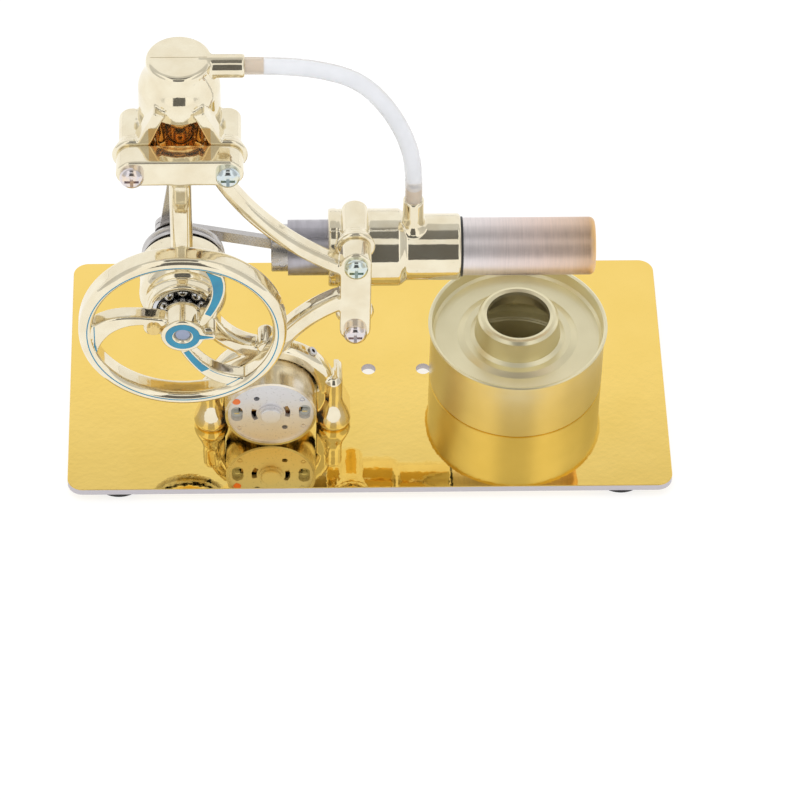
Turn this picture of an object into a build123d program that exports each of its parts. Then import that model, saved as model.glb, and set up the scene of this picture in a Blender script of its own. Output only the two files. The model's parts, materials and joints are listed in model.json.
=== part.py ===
from build123d import *
import math
import os

# Tabletop hot-air engine with a generator motor, in millimetres.
# +X runs from the flywheel to the burner, +Y to the back and +Z up.
# The origin is under the middle of the base plate, at the bottom of its rubber feet.

os.makedirs("parts", exist_ok=True)

# ---------------------------------------------------------------- driving dimensions

BASE_LENGTH = 195.0
BASE_DEPTH = 101.4
BASE_THICK = 2.4
BASE_CORNER = 5.0
FOOT_HEIGHT = 3.0
FOOT_RADIUS = 8.5
FOOT_PITCH_X = 162.0
FOOT_PITCH_Y = 82.0
SPARE_HOLE_RADIUS = 2.35
SPARE_HOLE_PITCH = 18.0
SPARE_HOLES_X = 9.4
SPARE_HOLES_Y = 1.2
DECK = FOOT_HEIGHT + BASE_THICK

CRANK_X = -59.5
CRANK_Z = DECK + 59.6
CYLINDER_Y = -1.0
CRANK_RADIUS = 10.0
CRANK_ANGLE = math.radians(123.0)
ROD_LENGTH = 38.0
PIN_X = CRANK_X + CRANK_RADIUS * math.cos(CRANK_ANGLE)
PIN_Z = CRANK_Z + CRANK_RADIUS * math.sin(CRANK_ANGLE)
POWER_PIN_Z = PIN_Z + math.sqrt(ROD_LENGTH**2 - (PIN_X - CRANK_X) ** 2)
SLIDE_PIN_X = PIN_X + math.sqrt(ROD_LENGTH**2 - (PIN_Z - CRANK_Z) ** 2)

BRACKET_REACH = 54.5
POWER_BRACKET_Z = CRANK_Z + BRACKET_REACH
SLIDE_BRACKET_X = CRANK_X + BRACKET_REACH
SCREW_PITCH = 29.4
SLIDE_BRACKET_Z = CRANK_Z - 1.0
FRAME_FRONT = -23.0
FRAME_BACK = -15.0
ARM_Y = -19.7
ARM_DEPTH = 6.4

MOTOR_X = -32.0
MOTOR_RADIUS = 14.7
MOTOR_Z = DECK + MOTOR_RADIUS + 0.2
MOTOR_FRONT = -32.4
MOTOR_LENGTH = 20.0
MOTOR_WALL = 0.9
MOTOR_SHAFT_RADIUS = 1.0
ARCH_INNER = 14.8
ARCH_OUTER = 21.0
LEFT_LEG_REACH = 19.3
RIGHT_LEG_REACH = 20.4
LEG_Y = -21.4
CLAMP_ANGLE = 50.0

SHAFT_RADIUS = 2.5
BEARING_OUTER = 9.5
BEARING_WIDTH = 5.6
FRONT_BEARING_Y = -28.4
REAR_BEARING_Y = -13.9
BALL_RADIUS = 1.95
BALL_CIRCLE = 6.2
BALL_COUNT = 8

WHEEL_FRONT = -39.2
WHEEL_DEPTH = 8.0
WHEEL_RADIUS = 32.6
WHEEL_RIM = 4.3
HUB_FRONT = -39.9
HUB_BACK = -30.6
HUB_RADIUS = 6.8
SPOKE_FRONT = -38.2
SPOKE_BACK = -33.2
LEFT_SPOKE = 180.0
UPPER_SPOKE = 69.0
LOWER_SPOKE = -54.0
ENAMEL_DEPTH = 0.35

DISC_RADIUS = 13.2
DISC_FRONT = -6.6
DISC_BACK = -2.9
PIN_RADIUS = 1.45
ROD_THICK = 1.9
POWER_ROD_BACK = -0.45
SLIDE_ROD_BACK = 1.75
ROD_WIDTH = 4.2
EYE_RADIUS = 3.4
WRIST_RADIUS = 1.2
RUNNING = 0.05

PISTON_RADIUS = 7.6
PISTON_SKIRT = 3.6
LINER_RADIUS = 8.9
LINER_BORE = PISTON_RADIUS + RUNNING

HOT_CAP_RADIUS = 9.25
HOT_CAP_START = 21.5
HOT_CAP_END = 71.8
SLIDE_CASTING_END = 28.8
SLIDE_NIPPLE_X = 13.5
SLIDE_NIPPLE_TOP = DECK + 81.2
POWER_TOP_Z = DECK + 142.5
POWER_NIPPLE_Z = DECK + 138.9
POWER_NIPPLE_END = -39.3
SPIGOT_RADIUS = 1.7
SPIGOT_BORE = 1.1
SPIGOT_OUT = 5.9
HOSE_RADIUS = 2.7

BURNER_X = 48.7
BURNER_Y = -1.3
BURNER_RADIUS = 28.4
BURNER_HEIGHT = 23.8

CRANK_AXIS = Axis((CRANK_X, 0, CRANK_Z), (0, 1, 0))
MOTOR_AXIS = Axis((MOTOR_X, 0, MOTOR_Z), (0, 1, 0))
POWER_AXIS = Axis((CRANK_X, CYLINDER_Y, 0), (0, 0, 1))
SLIDE_AXIS = Axis((0, CYLINDER_Y, CRANK_Z), (1, 0, 0))
BURNER_AXIS = Axis((BURNER_X, BURNER_Y, 0), (0, 0, 1))


# ---------------------------------------------------------------- helpers


def front_plane(y, x=0.0, z=0.0):
    """Upright plane at depth y whose sketches grow towards the front when extruded."""
    return Plane(origin=(x, y, z), x_dir=(1, 0, 0), z_dir=(0, -1, 0))


def along_y(x, z):
    """Axis through (x, z) that runs front to back."""
    return Axis((x, 0, z), (0, 1, 0))


def lathe(axis):
    """Half plane of a turned shape: local x runs along the axis and local y is the radius."""
    along = axis.direction
    radial = Vector(0, 0, 1) if abs(along.Z) < 0.5 else Vector(1, 0, 0)
    return Plane(origin=axis.position, x_dir=along, z_dir=along.cross(radial))


def turn(axis, *outline, mode=Mode.ADD):
    """Turned solid from (place along the axis, radius) points."""
    with BuildSketch(lathe(axis)) as section:
        with BuildLine():
            Polyline(*outline, close=True)
        make_face()
    revolve(section.sketch, axis=axis, mode=mode)


def ring(axis, start, finish, outer, inner, mode=Mode.ADD):
    """Plain ring or, with an inner radius of zero, a plain cylinder."""
    turn(axis, (start, inner), (finish, inner), (finish, outer), (start, outer), mode=mode)


def block(low, high, mode=Mode.ADD):
    """Box between two corners."""
    middle = [(a + b) / 2 for a, b in zip(low, high)]
    with Locations(tuple(middle)):
        Box(*[b - a for a, b in zip(low, high)], mode=mode)


def arm(start, middle, finish, width, depth=ARM_DEPTH, corner=2.0):
    """Curved cast arm with a rounded section, through three (x, z) points."""
    with BuildLine() as path:
        ThreePointArc(*[(x, ARM_Y, z) for x, z in (start, middle, finish)])
    with BuildSketch(Plane(origin=path.line @ 0, x_dir=(0, 1, 0), z_dir=path.line % 0)) as section:
        RectangleRounded(depth, width, corner)
    sweep(section.sketch, path=path.line)


def link(start, finish, back):
    """Flat connecting rod between two (x, z) eyes, the first at the crank end."""
    reach = math.dist(start, finish)
    heading = (finish[0] - start[0], 0, finish[1] - start[1])
    plane = Plane(origin=(start[0], back, start[1]), x_dir=heading, z_dir=(0, -1, 0))
    with BuildSketch(plane) as outline:
        with Locations((reach / 2, 0)):
            Rectangle(reach, ROD_WIDTH)
        with Locations((0, 0), (reach, 0)):
            Circle(EYE_RADIUS)
        with Locations((0, 0)):
            Circle(PIN_RADIUS + RUNNING, mode=Mode.SUBTRACT)
        with Locations((reach, 0)):
            Circle(WRIST_RADIUS + RUNNING, mode=Mode.SUBTRACT)
    extrude(outline.sketch, amount=ROD_THICK)


def polar(radius, angle):
    """(x, z) offset at a radius and an angle in degrees."""
    return radius * math.cos(math.radians(angle)), radius * math.sin(math.radians(angle))


SCREW_HEAD = 3.2


def pan_head_screw(x, z):
    """Cross-recess pan head screw along Y, its head on the front of the frame."""
    with BuildPart() as screw:
        turn(
            along_y(x, z),
            (FRAME_FRONT - SCREW_HEAD, 0),
            (FRAME_FRONT - SCREW_HEAD, 3.75),
            (FRAME_FRONT, 3.75),
            (FRAME_FRONT, 2.0),
            (-6.0, 2.0),
            (-6.0, 0),
        )
        fillet(screw.faces().sort_by(Axis.Y)[0].edges(), 2.0)
        with Locations((x, FRAME_FRONT - SCREW_HEAD + 0.2, z)):
            Box(4.4, 3.0, 1.0, mode=Mode.SUBTRACT)
            Box(1.0, 3.0, 4.4, mode=Mode.SUBTRACT)
    return screw.part


def save(part, label):
    """Name a finished piece and write it."""
    part.label = label
    export_step(part, f"parts/{label}.step")


# ---------------------------------------------------------------- base

LEG_PLACES = [(MOTOR_X - LEFT_LEG_REACH, LEG_Y), (MOTOR_X + RIGHT_LEG_REACH, LEG_Y)]
SPARE_PLACES = [(SPARE_HOLES_X + side * SPARE_HOLE_PITCH / 2, SPARE_HOLES_Y) for side in (-1, 1)]

with BuildPart() as base_plate:
    with BuildSketch(Plane.XY.offset(FOOT_HEIGHT)):
        RectangleRounded(BASE_LENGTH, BASE_DEPTH, BASE_CORNER)
        with Locations(*SPARE_PLACES):
            Circle(SPARE_HOLE_RADIUS, mode=Mode.SUBTRACT)
    extrude(amount=BASE_THICK)
    chamfer(base_plate.faces().sort_by(Axis.Z)[-1].outer_wire().edges(), 0.2)
    for place in LEG_PLACES:
        with Locations(Location((*place, FOOT_HEIGHT), (180, 0, 0))):
            CounterSinkHole(1.6, 3.0, BASE_THICK)
save(base_plate.part, "base_plate")

with BuildPart() as rubber_feet:
    with GridLocations(FOOT_PITCH_X, FOOT_PITCH_Y, 2, 2):
        Cone(FOOT_RADIUS, FOOT_RADIUS - 0.5, FOOT_HEIGHT, align=(Align.CENTER, Align.CENTER, Align.MIN))
    fillet(rubber_feet.faces().group_by(Axis.Z)[0].edges(), 0.5)
save(rubber_feet.part, "rubber_feet")

# ---------------------------------------------------------------- cast frame

HOUSING_RADIUS = 13.8
HOUSING_NOSE = 11.2
HOUSING_FRONT = -28.7
HOUSING_BACK = -8.0
BRACKET_WIDTH = 9.8
KNOB = (-33.4, DECK + 38.6)

LEG_TOP = MOTOR_Z + 6.2
BELL_CURVE = ((DECK, 4.9), (DECK + 1.6, 5.6), (DECK + 5.0, 5.0), (DECK + 9.0, 3.5), (DECK + 12.5, 2.95))

with BuildPart() as arch_band:
    with BuildSketch(lathe(MOTOR_AXIS)):
        with Locations((ARM_Y, (ARCH_INNER + ARCH_OUTER) / 2)):
            RectangleRounded(ARM_DEPTH, ARCH_OUTER - ARCH_INNER, 2.4)
    revolve(axis=MOTOR_AXIS)
    block((MOTOR_X - 30, -30, MOTOR_Z), (MOTOR_X + 30, 0, MOTOR_Z + 30), mode=Mode.INTERSECT)

with BuildPart() as frame_casting:
    # bearing housing
    with BuildSketch(lathe(CRANK_AXIS)):
        with BuildLine():
            Line((HOUSING_BACK, 0), (HOUSING_BACK, HOUSING_RADIUS - 0.6))
            Line((HOUSING_BACK, HOUSING_RADIUS - 0.6), (HOUSING_BACK - 0.6, HOUSING_RADIUS))
            Line((HOUSING_BACK - 0.6, HOUSING_RADIUS), (-21.0, HOUSING_RADIUS))
            ThreePointArc((-21.0, HOUSING_RADIUS), (-23.6, 13.0), (-25.2, HOUSING_NOSE))
            Line((-25.2, HOUSING_NOSE), (HOUSING_FRONT + 0.6, HOUSING_NOSE))
            Line((HOUSING_FRONT + 0.6, HOUSING_NOSE), (HOUSING_FRONT, HOUSING_NOSE - 0.6))
            Line((HOUSING_FRONT, HOUSING_NOSE - 0.6), (HOUSING_FRONT, 0))
            Line((HOUSING_FRONT, 0), (HOUSING_BACK, 0))
        make_face()
    revolve(axis=CRANK_AXIS)
    # strut up to the power cylinder and arms to the displacer cylinder and the motor arch
    with BuildSketch(Plane((CRANK_X, ARM_Y, CRANK_Z + 11.0))):
        RectangleRounded(7.0, ARM_DEPTH, 2.2)
    extrude(amount=BRACKET_REACH - 12.0)
    arm((-47.6, DECK + 111.0), (-28.6, DECK + 84.6), (-6.5, DECK + 69.0), 4.8, corner=1.9)
    arm((-52.5, DECK + 51.5), (-45.6, DECK + 38.6), (-36.0, DECK + 33.5), 6.6)
    arm((-30.5, DECK + 33.5), (-21.7, DECK + 46.8), (-5.5, DECK + 57.5), 6.6)
    # motor arch and its two legs
    add(arch_band.part)
    for place in LEG_PLACES:
        side = math.copysign(1.0, place[0] - MOTOR_X)
        cheek = (MOTOR_X + side * ARCH_INNER, MOTOR_X + side * ARCH_OUTER)
        block((min(cheek), ARM_Y - 3.0, DECK), (max(cheek), ARM_Y + 3.0, MOTOR_Z + 0.5))
        leg = Axis((*place, 0), (0, 0, 1))
        with BuildSketch(lathe(leg)) as bell:
            with BuildLine():
                Line((DECK, 0), (DECK, 4.9))
                Spline(*BELL_CURVE)
                Line((DECK + 12.5, 2.95), (LEG_TOP - 1.6, 2.9))
                Line((LEG_TOP - 1.6, 2.9), (LEG_TOP, 1.5))
                Line((LEG_TOP, 1.5), (LEG_TOP, 0))
                Line((LEG_TOP, 0), (DECK, 0))
            make_face()
        revolve(bell.sketch, axis=leg)
    # boss on the crown of the arch
    ring(along_y(*KNOB), -25.6, -17.2, 2.9, 0)
    # bracket plates for the two cylinders
    with BuildSketch(front_plane(FRAME_BACK, CRANK_X, POWER_BRACKET_Z)):
        SlotCenterToCenter(SCREW_PITCH, BRACKET_WIDTH)
    with BuildSketch(front_plane(FRAME_BACK, SLIDE_BRACKET_X, SLIDE_BRACKET_Z)):
        SlotCenterToCenter(SCREW_PITCH, BRACKET_WIDTH, rotation=90)
    extrude(amount=FRAME_BACK - FRAME_FRONT)
    chamfer(frame_casting.faces().filter_by(Axis.Y).group_by(Axis.Y)[1].edges(), 0.35)
    # bores
    ring(CRANK_AXIS, HOUSING_FRONT, HOUSING_BACK, 7.8, 0, mode=Mode.SUBTRACT)
    ring(CRANK_AXIS, HOUSING_FRONT, FRONT_BEARING_Y + BEARING_WIDTH, BEARING_OUTER, 0, mode=Mode.SUBTRACT)
    ring(CRANK_AXIS, REAR_BEARING_Y, HOUSING_BACK, BEARING_OUTER, 0, mode=Mode.SUBTRACT)
    for side in (-1, 1):
        offset_to_screw = side * SCREW_PITCH / 2
        power_hole = along_y(CRANK_X + offset_to_screw, POWER_BRACKET_Z)
        slide_hole = along_y(SLIDE_BRACKET_X, SLIDE_BRACKET_Z + offset_to_screw)
        ring(power_hole, FRAME_FRONT, -10, 2.1, 0, mode=Mode.SUBTRACT)
        ring(slide_hole, FRAME_FRONT, -10, 2.1, 0, mode=Mode.SUBTRACT)
    for place in LEG_PLACES:
        ring(Axis((*place, 0), (0, 0, 1)), DECK, DECK + 9.0, 1.5, 0, mode=Mode.SUBTRACT)
    # motor seat and the threaded hole of its clamp screw
    ring(MOTOR_AXIS, -35, -10, ARCH_INNER, 0, mode=Mode.SUBTRACT)
    clamp_x, clamp_z = polar(1.0, CLAMP_ANGLE)
    clamp_axis = Axis((MOTOR_X, ARM_Y, MOTOR_Z), (clamp_x, 0, clamp_z))
    clamp_plane = Plane(origin=clamp_axis.position, z_dir=clamp_axis.direction)
    with BuildSketch(clamp_plane):
        Circle(1.5)
    extrude(amount=ARCH_OUTER + 2.0, mode=Mode.SUBTRACT)
save(frame_casting.part, "frame_casting")

with BuildPart() as motor_clamp_screw:
    with BuildSketch(clamp_plane.offset(MOTOR_RADIUS + 0.05)):
        Circle(1.5)
    extrude(amount=6.8)
    with BuildSketch(clamp_plane.offset(MOTOR_RADIUS + 5.4)):
        RegularPolygon(0.75, 6)
    extrude(amount=2.0, mode=Mode.SUBTRACT)
save(motor_clamp_screw.part, "motor_clamp_screw")

with BuildPart() as frame_screws:
    for place in LEG_PLACES:
        turn(
            Axis((*place, 0), (0, 0, 1)),
            (FOOT_HEIGHT, 0),
            (FOOT_HEIGHT, 2.95),
            (FOOT_HEIGHT + 1.4, 1.5),
            (DECK + 8.0, 1.5),
            (DECK + 8.0, 0),
        )
        with Locations((*place, FOOT_HEIGHT + 0.4)):
            Box(2.6, 0.6, 0.8, mode=Mode.SUBTRACT)
            Box(0.6, 2.6, 0.8, mode=Mode.SUBTRACT)
save(frame_screws.part, "frame_screws")

# ---------------------------------------------------------------- crank shaft bearings

INNER_RING_OUTER = 4.0
OUTER_RING_BORE = 8.4
BEARINGS = {"front": FRONT_BEARING_Y, "rear": REAR_BEARING_Y}

with BuildPart() as bearing_outer_rings:
    for start in BEARINGS.values():
        ring(CRANK_AXIS, start, start + BEARING_WIDTH, BEARING_OUTER, OUTER_RING_BORE)
save(bearing_outer_rings.part, "bearing_outer_rings")

with BuildPart() as bearing_inner_rings:
    for start in BEARINGS.values():
        ring(CRANK_AXIS, start, start + BEARING_WIDTH, INNER_RING_OUTER, SHAFT_RADIUS)
save(bearing_inner_rings.part, "bearing_inner_rings")

CAGE_INNER = 4.9
CAGE_OUTER = 7.5
POCKET_RADIUS = BALL_RADIUS + 0.1

for name, start in BEARINGS.items():
    middle = start + BEARING_WIDTH / 2
    ball_places = [polar(BALL_CIRCLE, 90 + step * 360 / BALL_COUNT) for step in range(BALL_COUNT)]
    with BuildPart() as balls:
        for x, z in ball_places:
            with Locations((CRANK_X + x, middle, CRANK_Z + z)):
                Sphere(BALL_RADIUS)
    save(balls.part, f"{name}_bearing_balls")
    with BuildPart() as cage:
        ring(CRANK_AXIS, middle - 0.5, start + BEARING_WIDTH - 0.3, CAGE_OUTER, CAGE_INNER)
        for x, z in ball_places:
            pocket = along_y(CRANK_X + x, CRANK_Z + z)
            ring(pocket, middle - 1.0, middle + POCKET_RADIUS, POCKET_RADIUS, 0, mode=Mode.SUBTRACT)
    save(cage.part, f"{name}_bearing_cage")

# ---------------------------------------------------------------- crank shaft

with BuildPart() as main_shaft:
    ring(CRANK_AXIS, HUB_FRONT + 1.0, DISC_BACK - 0.1, SHAFT_RADIUS, 0)
    chamfer(main_shaft.faces().sort_by(Axis.Y)[0].edges(), 0.3)
save(main_shaft.part, "main_shaft")

with BuildPart() as flywheel_spacer:
    ring(CRANK_AXIS, HUB_BACK, FRONT_BEARING_Y, 3.7, SHAFT_RADIUS)
save(flywheel_spacer.part, "flywheel_spacer")

with BuildPart() as bearing_spacer:
    ring(CRANK_AXIS, FRONT_BEARING_Y + BEARING_WIDTH, REAR_BEARING_Y, 3.7, SHAFT_RADIUS)
save(bearing_spacer.part, "bearing_spacer")


def spoke_plane(y, angle):
    """Front-facing plane with its local x along a spoke and its local y on the spoke's bowed side."""
    x, z = polar(1.0, angle)
    return Plane(origin=(CRANK_X, y, CRANK_Z), x_dir=(x, 0, z), z_dir=(0, 1, 0))


SPOKE_UPPER = ((5.0, 5.6), (10.0, 6.5), (16.0, 6.9), (22.0, 6.2), (26.5, 4.2), (29.4, 1.6))
SPOKE_LOWER = ((5.0, 2.6), (10.0, 3.1), (16.0, 3.1), (21.0, 1.9), (25.5, -0.8), (29.2, -4.4))
FLARED_LOWER = ((5.0, 2.6), (10.0, 3.1), (16.0, 2.9), (21.0, 0.6), (24.6, -3.4), (26.8, -9.0))
LOWER_INSET = ((0.0, 1.0), (0.0, 1.0), (0.2, 1.0), (0.6, 0.8), (0.8, 0.6), (0.8, 0.6))


def spoke_outline(angle, upper_inset=0.0, lower_inset=0.0):
    """Bowed spoke that flares into the rim; the insets give the outline of its enamel."""
    upper = [(x, y - upper_inset) for x, y in SPOKE_UPPER]
    lower = [
        (x + lower_inset * step[0], y + lower_inset * step[1])
        for (x, y), step in zip(FLARED_LOWER if angle == LEFT_SPOKE else SPOKE_LOWER, LOWER_INSET)
    ]
    with BuildLine() as outline:
        Spline(*upper)
        Line(upper[-1], lower[-1])
        Spline(*reversed(lower))
        Line(lower[0], upper[0])
    make_face(outline.edges())


LEFT_EAR = (-9.0, 2.2)
RIGHT_EAR = (8.1, -0.4)
EAR_AXIS = along_y(CRANK_X + LEFT_EAR[0], CRANK_Z + LEFT_EAR[1])
EAR_FRONT = -38.2
RIM_GROOVE = (29.75, 30.1)
HUB_ENAMEL = (3.25, 5.4)
INLAY_SPOKES = ((UPPER_SPOKE, 11.0, 27.6), (LOWER_SPOKE, 8.2, 18.6))
LINED_SPOKES = ((LOWER_SPOKE, 18.6, 27.6), (LEFT_SPOKE, 25.2, 27.8))


def line_core(angle, start, end):
    """Face inside an edge line, so that only the lower and the outer edges of the line are left."""
    with BuildSketch() as core:
        spoke_outline(angle, -1.0, 0.5)
        with Locations(((start + end) / 2, 0)):
            Rectangle(end - start, 30.0, mode=Mode.INTERSECT)
    return core.sketch


def enamel_pockets(depth, mode):
    """Shallow pockets on the front of the flywheel, or the enamel that fills them."""
    for angle, start, end in INLAY_SPOKES:
        with BuildSketch(spoke_plane(SPOKE_FRONT, angle)) as inlay:
            spoke_outline(angle, 0.95, 0.45)
            with Locations(((start + end) / 2, 0)):
                Rectangle(end - start, 30.0, rotation=8.0, mode=Mode.INTERSECT)
        extrude(inlay.sketch, amount=depth, mode=mode)
    for angle, start, end in LINED_SPOKES:
        with BuildSketch(spoke_plane(SPOKE_FRONT, angle)) as edge_line:
            spoke_outline(angle, 0.5, 0.5)
            with Locations(((start + end) / 2, 0)):
                Rectangle(end - start, 30.0, mode=Mode.INTERSECT)
            with Locations((-0.35, 0.35)):
                add(line_core(angle, start - 2.0, end), mode=Mode.SUBTRACT)
        extrude(edge_line.sketch, amount=depth, mode=mode)
    ring(CRANK_AXIS, HUB_FRONT, HUB_FRONT + depth, HUB_ENAMEL[1], HUB_ENAMEL[0], mode=mode)
    ring(CRANK_AXIS, WHEEL_FRONT, WHEEL_FRONT + depth, RIM_GROOVE[1], RIM_GROOVE[0], mode=mode)
    with BuildSketch(front_plane(HUB_FRONT + depth, CRANK_X, CRANK_Z)) as tail:
        with BuildLine():
            Polyline((5.3, 0.6), (9.6, -0.2), (9.6, -0.5), (5.3, -1.2), close=True)
        make_face()
    extrude(tail.sketch, amount=depth, mode=mode)


def spoke(angle):
    """One cast spoke with softened front edges."""
    with BuildPart() as bar:
        with BuildSketch(spoke_plane(SPOKE_FRONT, angle)) as outline:
            spoke_outline(angle)
        extrude(outline.sketch, amount=SPOKE_BACK - SPOKE_FRONT)
        chamfer(bar.faces().sort_by(Axis.Y)[0].edges(), 0.5)
    return bar.part


spokes = [spoke(angle) for angle in (LEFT_SPOKE, UPPER_SPOKE, LOWER_SPOKE)]
with BuildPart() as flywheel:
    with BuildSketch(lathe(CRANK_AXIS)):
        with Locations((WHEEL_FRONT + WHEEL_DEPTH / 2, WHEEL_RADIUS - WHEEL_RIM / 2)):
            RectangleRounded(WHEEL_DEPTH, WHEEL_RIM, 1.95)
    revolve(axis=CRANK_AXIS)
    add(spokes)
    for ear, radius in ((LEFT_EAR, 3.2), (RIGHT_EAR, 2.5)):
        ring(along_y(CRANK_X + ear[0], CRANK_Z + ear[1]), EAR_FRONT, SPOKE_BACK, radius, 0)
    ring(CRANK_AXIS, EAR_FRONT - 0.6, HUB_BACK, HUB_RADIUS, 0)
    turn(
        CRANK_AXIS,
        (HUB_FRONT, 0),
        (HUB_FRONT, HUB_RADIUS - 0.4),
        (HUB_FRONT + 0.4, HUB_RADIUS),
        (EAR_FRONT, HUB_RADIUS),
        (EAR_FRONT, 0),
    )
    with BuildSketch(front_plane(EAR_FRONT, CRANK_X, CRANK_Z)):
        with Locations((7.6, -0.3)):
            RectangleRounded(5.4, 2.6, 1.0)
    extrude(amount=EAR_FRONT - HUB_FRONT)
    # bore with a flared mouth
    turn(
        CRANK_AXIS,
        (HUB_FRONT, 0),
        (HUB_FRONT, 3.1),
        (HUB_FRONT + 1.0, SHAFT_RADIUS),
        (HUB_BACK, SHAFT_RADIUS),
        (HUB_BACK, 0),
        mode=Mode.SUBTRACT,
    )
    ring(EAR_AXIS, EAR_FRONT, -34.5, 1.2, 0, mode=Mode.SUBTRACT)
    enamel_pockets(ENAMEL_DEPTH, Mode.SUBTRACT)
save(flywheel.part, "flywheel")

with BuildPart() as flywheel_enamel:
    enamel_pockets(ENAMEL_DEPTH, Mode.ADD)
save(flywheel_enamel.part, "flywheel_enamel")

with BuildPart() as flywheel_screw:
    ring(EAR_AXIS, EAR_FRONT, -34.7, 1.2, 0)
    ring(EAR_AXIS, EAR_FRONT - 1.1, EAR_FRONT, 2.2, 0)
    chamfer(flywheel_screw.faces().sort_by(Axis.Y)[0].edges(), 0.3)
    with Locations((CRANK_X + LEFT_EAR[0], EAR_FRONT - 1.1, CRANK_Z + LEFT_EAR[1])):
        Box(0.6, 1.2, 5.0, mode=Mode.SUBTRACT)
save(flywheel_screw.part, "flywheel_screw")

SET_SCREW_ANGLE = math.degrees(CRANK_ANGLE) + 180.0
set_x, set_z = polar(1.0, SET_SCREW_ANGLE)
SET_SCREW_PLANE = Plane(origin=(CRANK_X, (DISC_FRONT + DISC_BACK) / 2, CRANK_Z), z_dir=(set_x, 0, set_z))

with BuildPart() as crank_disc:
    turn(
        CRANK_AXIS,
        (REAR_BEARING_Y + BEARING_WIDTH, SHAFT_RADIUS),
        (DISC_BACK, SHAFT_RADIUS),
        (DISC_BACK, DISC_RADIUS - 0.3),
        (DISC_BACK - 0.3, DISC_RADIUS),
        (-3.9, DISC_RADIUS),
        (-4.5, DISC_RADIUS - 1.0),
        (-5.0, DISC_RADIUS - 1.0),
        (-5.6, DISC_RADIUS),
        (DISC_FRONT + 0.3, DISC_RADIUS),
        (DISC_FRONT, DISC_RADIUS - 0.3),
        (DISC_FRONT, 5.5),
        (REAR_BEARING_Y + BEARING_WIDTH + 0.4, 3.9),
        (REAR_BEARING_Y + BEARING_WIDTH, 3.9),
    )
    ring(along_y(PIN_X, PIN_Z), DISC_FRONT, DISC_BACK, PIN_RADIUS, 0, mode=Mode.SUBTRACT)
    with BuildSketch(SET_SCREW_PLANE):
        Circle(1.0)
    extrude(amount=DISC_RADIUS, mode=Mode.SUBTRACT)
save(crank_disc.part, "crank_disc")

with BuildPart() as crank_disc_set_screw:
    with BuildSketch(SET_SCREW_PLANE.offset(SHAFT_RADIUS + 0.05)):
        Circle(1.0)
        RegularPolygon(0.5, 6, mode=Mode.SUBTRACT)
    extrude(amount=4.5)
    with BuildSketch(SET_SCREW_PLANE.offset(SHAFT_RADIUS + 0.05)):
        Circle(0.9)
    extrude(amount=2.5)
save(crank_disc_set_screw.part, "crank_disc_set_screw")

with BuildPart() as crankpin:
    ring(along_y(PIN_X, PIN_Z), DISC_FRONT, DISC_BACK + 0.25, PIN_RADIUS, 0)
save(crankpin.part, "crankpin")

# ---------------------------------------------------------------- connecting rods

with BuildPart() as power_rod:
    link((PIN_X, PIN_Z), (CRANK_X, POWER_PIN_Z), POWER_ROD_BACK)
save(power_rod.part, "power_rod")

with BuildPart() as crankpin_middle:
    ring(along_y(PIN_X, PIN_Z), POWER_ROD_BACK - ROD_THICK, POWER_ROD_BACK, PIN_RADIUS + RUNNING, 0)
save(crankpin_middle.part, "crankpin_middle")

with BuildPart() as displacer_conrod:
    link((PIN_X, PIN_Z), (SLIDE_PIN_X, CRANK_Z), SLIDE_ROD_BACK)
save(displacer_conrod.part, "displacer_conrod")

with BuildPart() as crankpin_end_screw:
    ring(along_y(PIN_X, PIN_Z), SLIDE_ROD_BACK - ROD_THICK, SLIDE_ROD_BACK, PIN_RADIUS + RUNNING, 0)
    ring(along_y(PIN_X, PIN_Z), SLIDE_ROD_BACK, SLIDE_ROD_BACK + 1.4, 2.7, 0)
    chamfer(crankpin_end_screw.faces().sort_by(Axis.Y)[-1].edges(), 0.3)
    with Locations((PIN_X, SLIDE_ROD_BACK + 1.4, PIN_Z)):
        Box(6.0, 1.2, 0.7, mode=Mode.SUBTRACT)
save(crankpin_end_screw.part, "crankpin_end_screw")

# ---------------------------------------------------------------- power cylinder (upright)

POWER_BORE_TOP = POWER_TOP_Z - 2.7
POWER_LINER_BOTTOM = DECK + 99.5
POWER_LINER_TOP = DECK + 134.0
POWER_CASTING_BOTTOM = DECK + 105.6
POWER_NIPPLE_REACH = POWER_NIPPLE_END - CRANK_X
BOSS_RADIUS = 4.25
port = Axis((CRANK_X, CYLINDER_Y, POWER_NIPPLE_Z), (1, 0, 0))
BOSS_BACK = 2.9


def bracket_boss(x, z):
    """Screw boss of a cylinder casting with its stepped collars, behind the frame plate."""
    turn(
        along_y(x, z),
        (FRAME_BACK, 0),
        (FRAME_BACK, 5.9),
        (FRAME_BACK + 0.5, 6.2),
        (FRAME_BACK + 1.3, 6.2),
        (FRAME_BACK + 1.9, 5.6),
        (FRAME_BACK + 3.0, 5.5),
        (FRAME_BACK + 3.6, 4.9),
        (FRAME_BACK + 4.6, 4.8),
        (FRAME_BACK + 5.2, BOSS_RADIUS),
        (BOSS_BACK - 0.8, BOSS_RADIUS),
        (BOSS_BACK, BOSS_RADIUS - 0.8),
        (BOSS_BACK, 0),
    )


def bracket_web(plane):
    """Web between the two bosses of a cylinder; local y points up the cylinder."""
    with BuildSketch(plane) as web:
        with Locations((0, -3.2)):
            Rectangle(SCREW_PITCH, 3.4)
    extrude(web.sketch, amount=7.0)


RIB_FRONT = 7.0
RIB_OUTLINE = ((16.0, -1.0), (7.6, 18.0), (4.4, 16.6), (10.4, 1.0))
RECESS_BACK = 10.2
POWER_DOME = ((DECK + 130.4, 12.7), (DECK + 134.6, 11.6), (DECK + 139.2, 10.15), (DECK + 141.0, 10.1))

with BuildPart() as casting_recess:
    ring(POWER_AXIS, DECK + 107.0, DECK + 125.8, 20.0, RECESS_BACK)
    block((CRANK_X - 7.4, -20, DECK + 100), (CRANK_X + 7.4, -8, DECK + 130), mode=Mode.INTERSECT)

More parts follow.
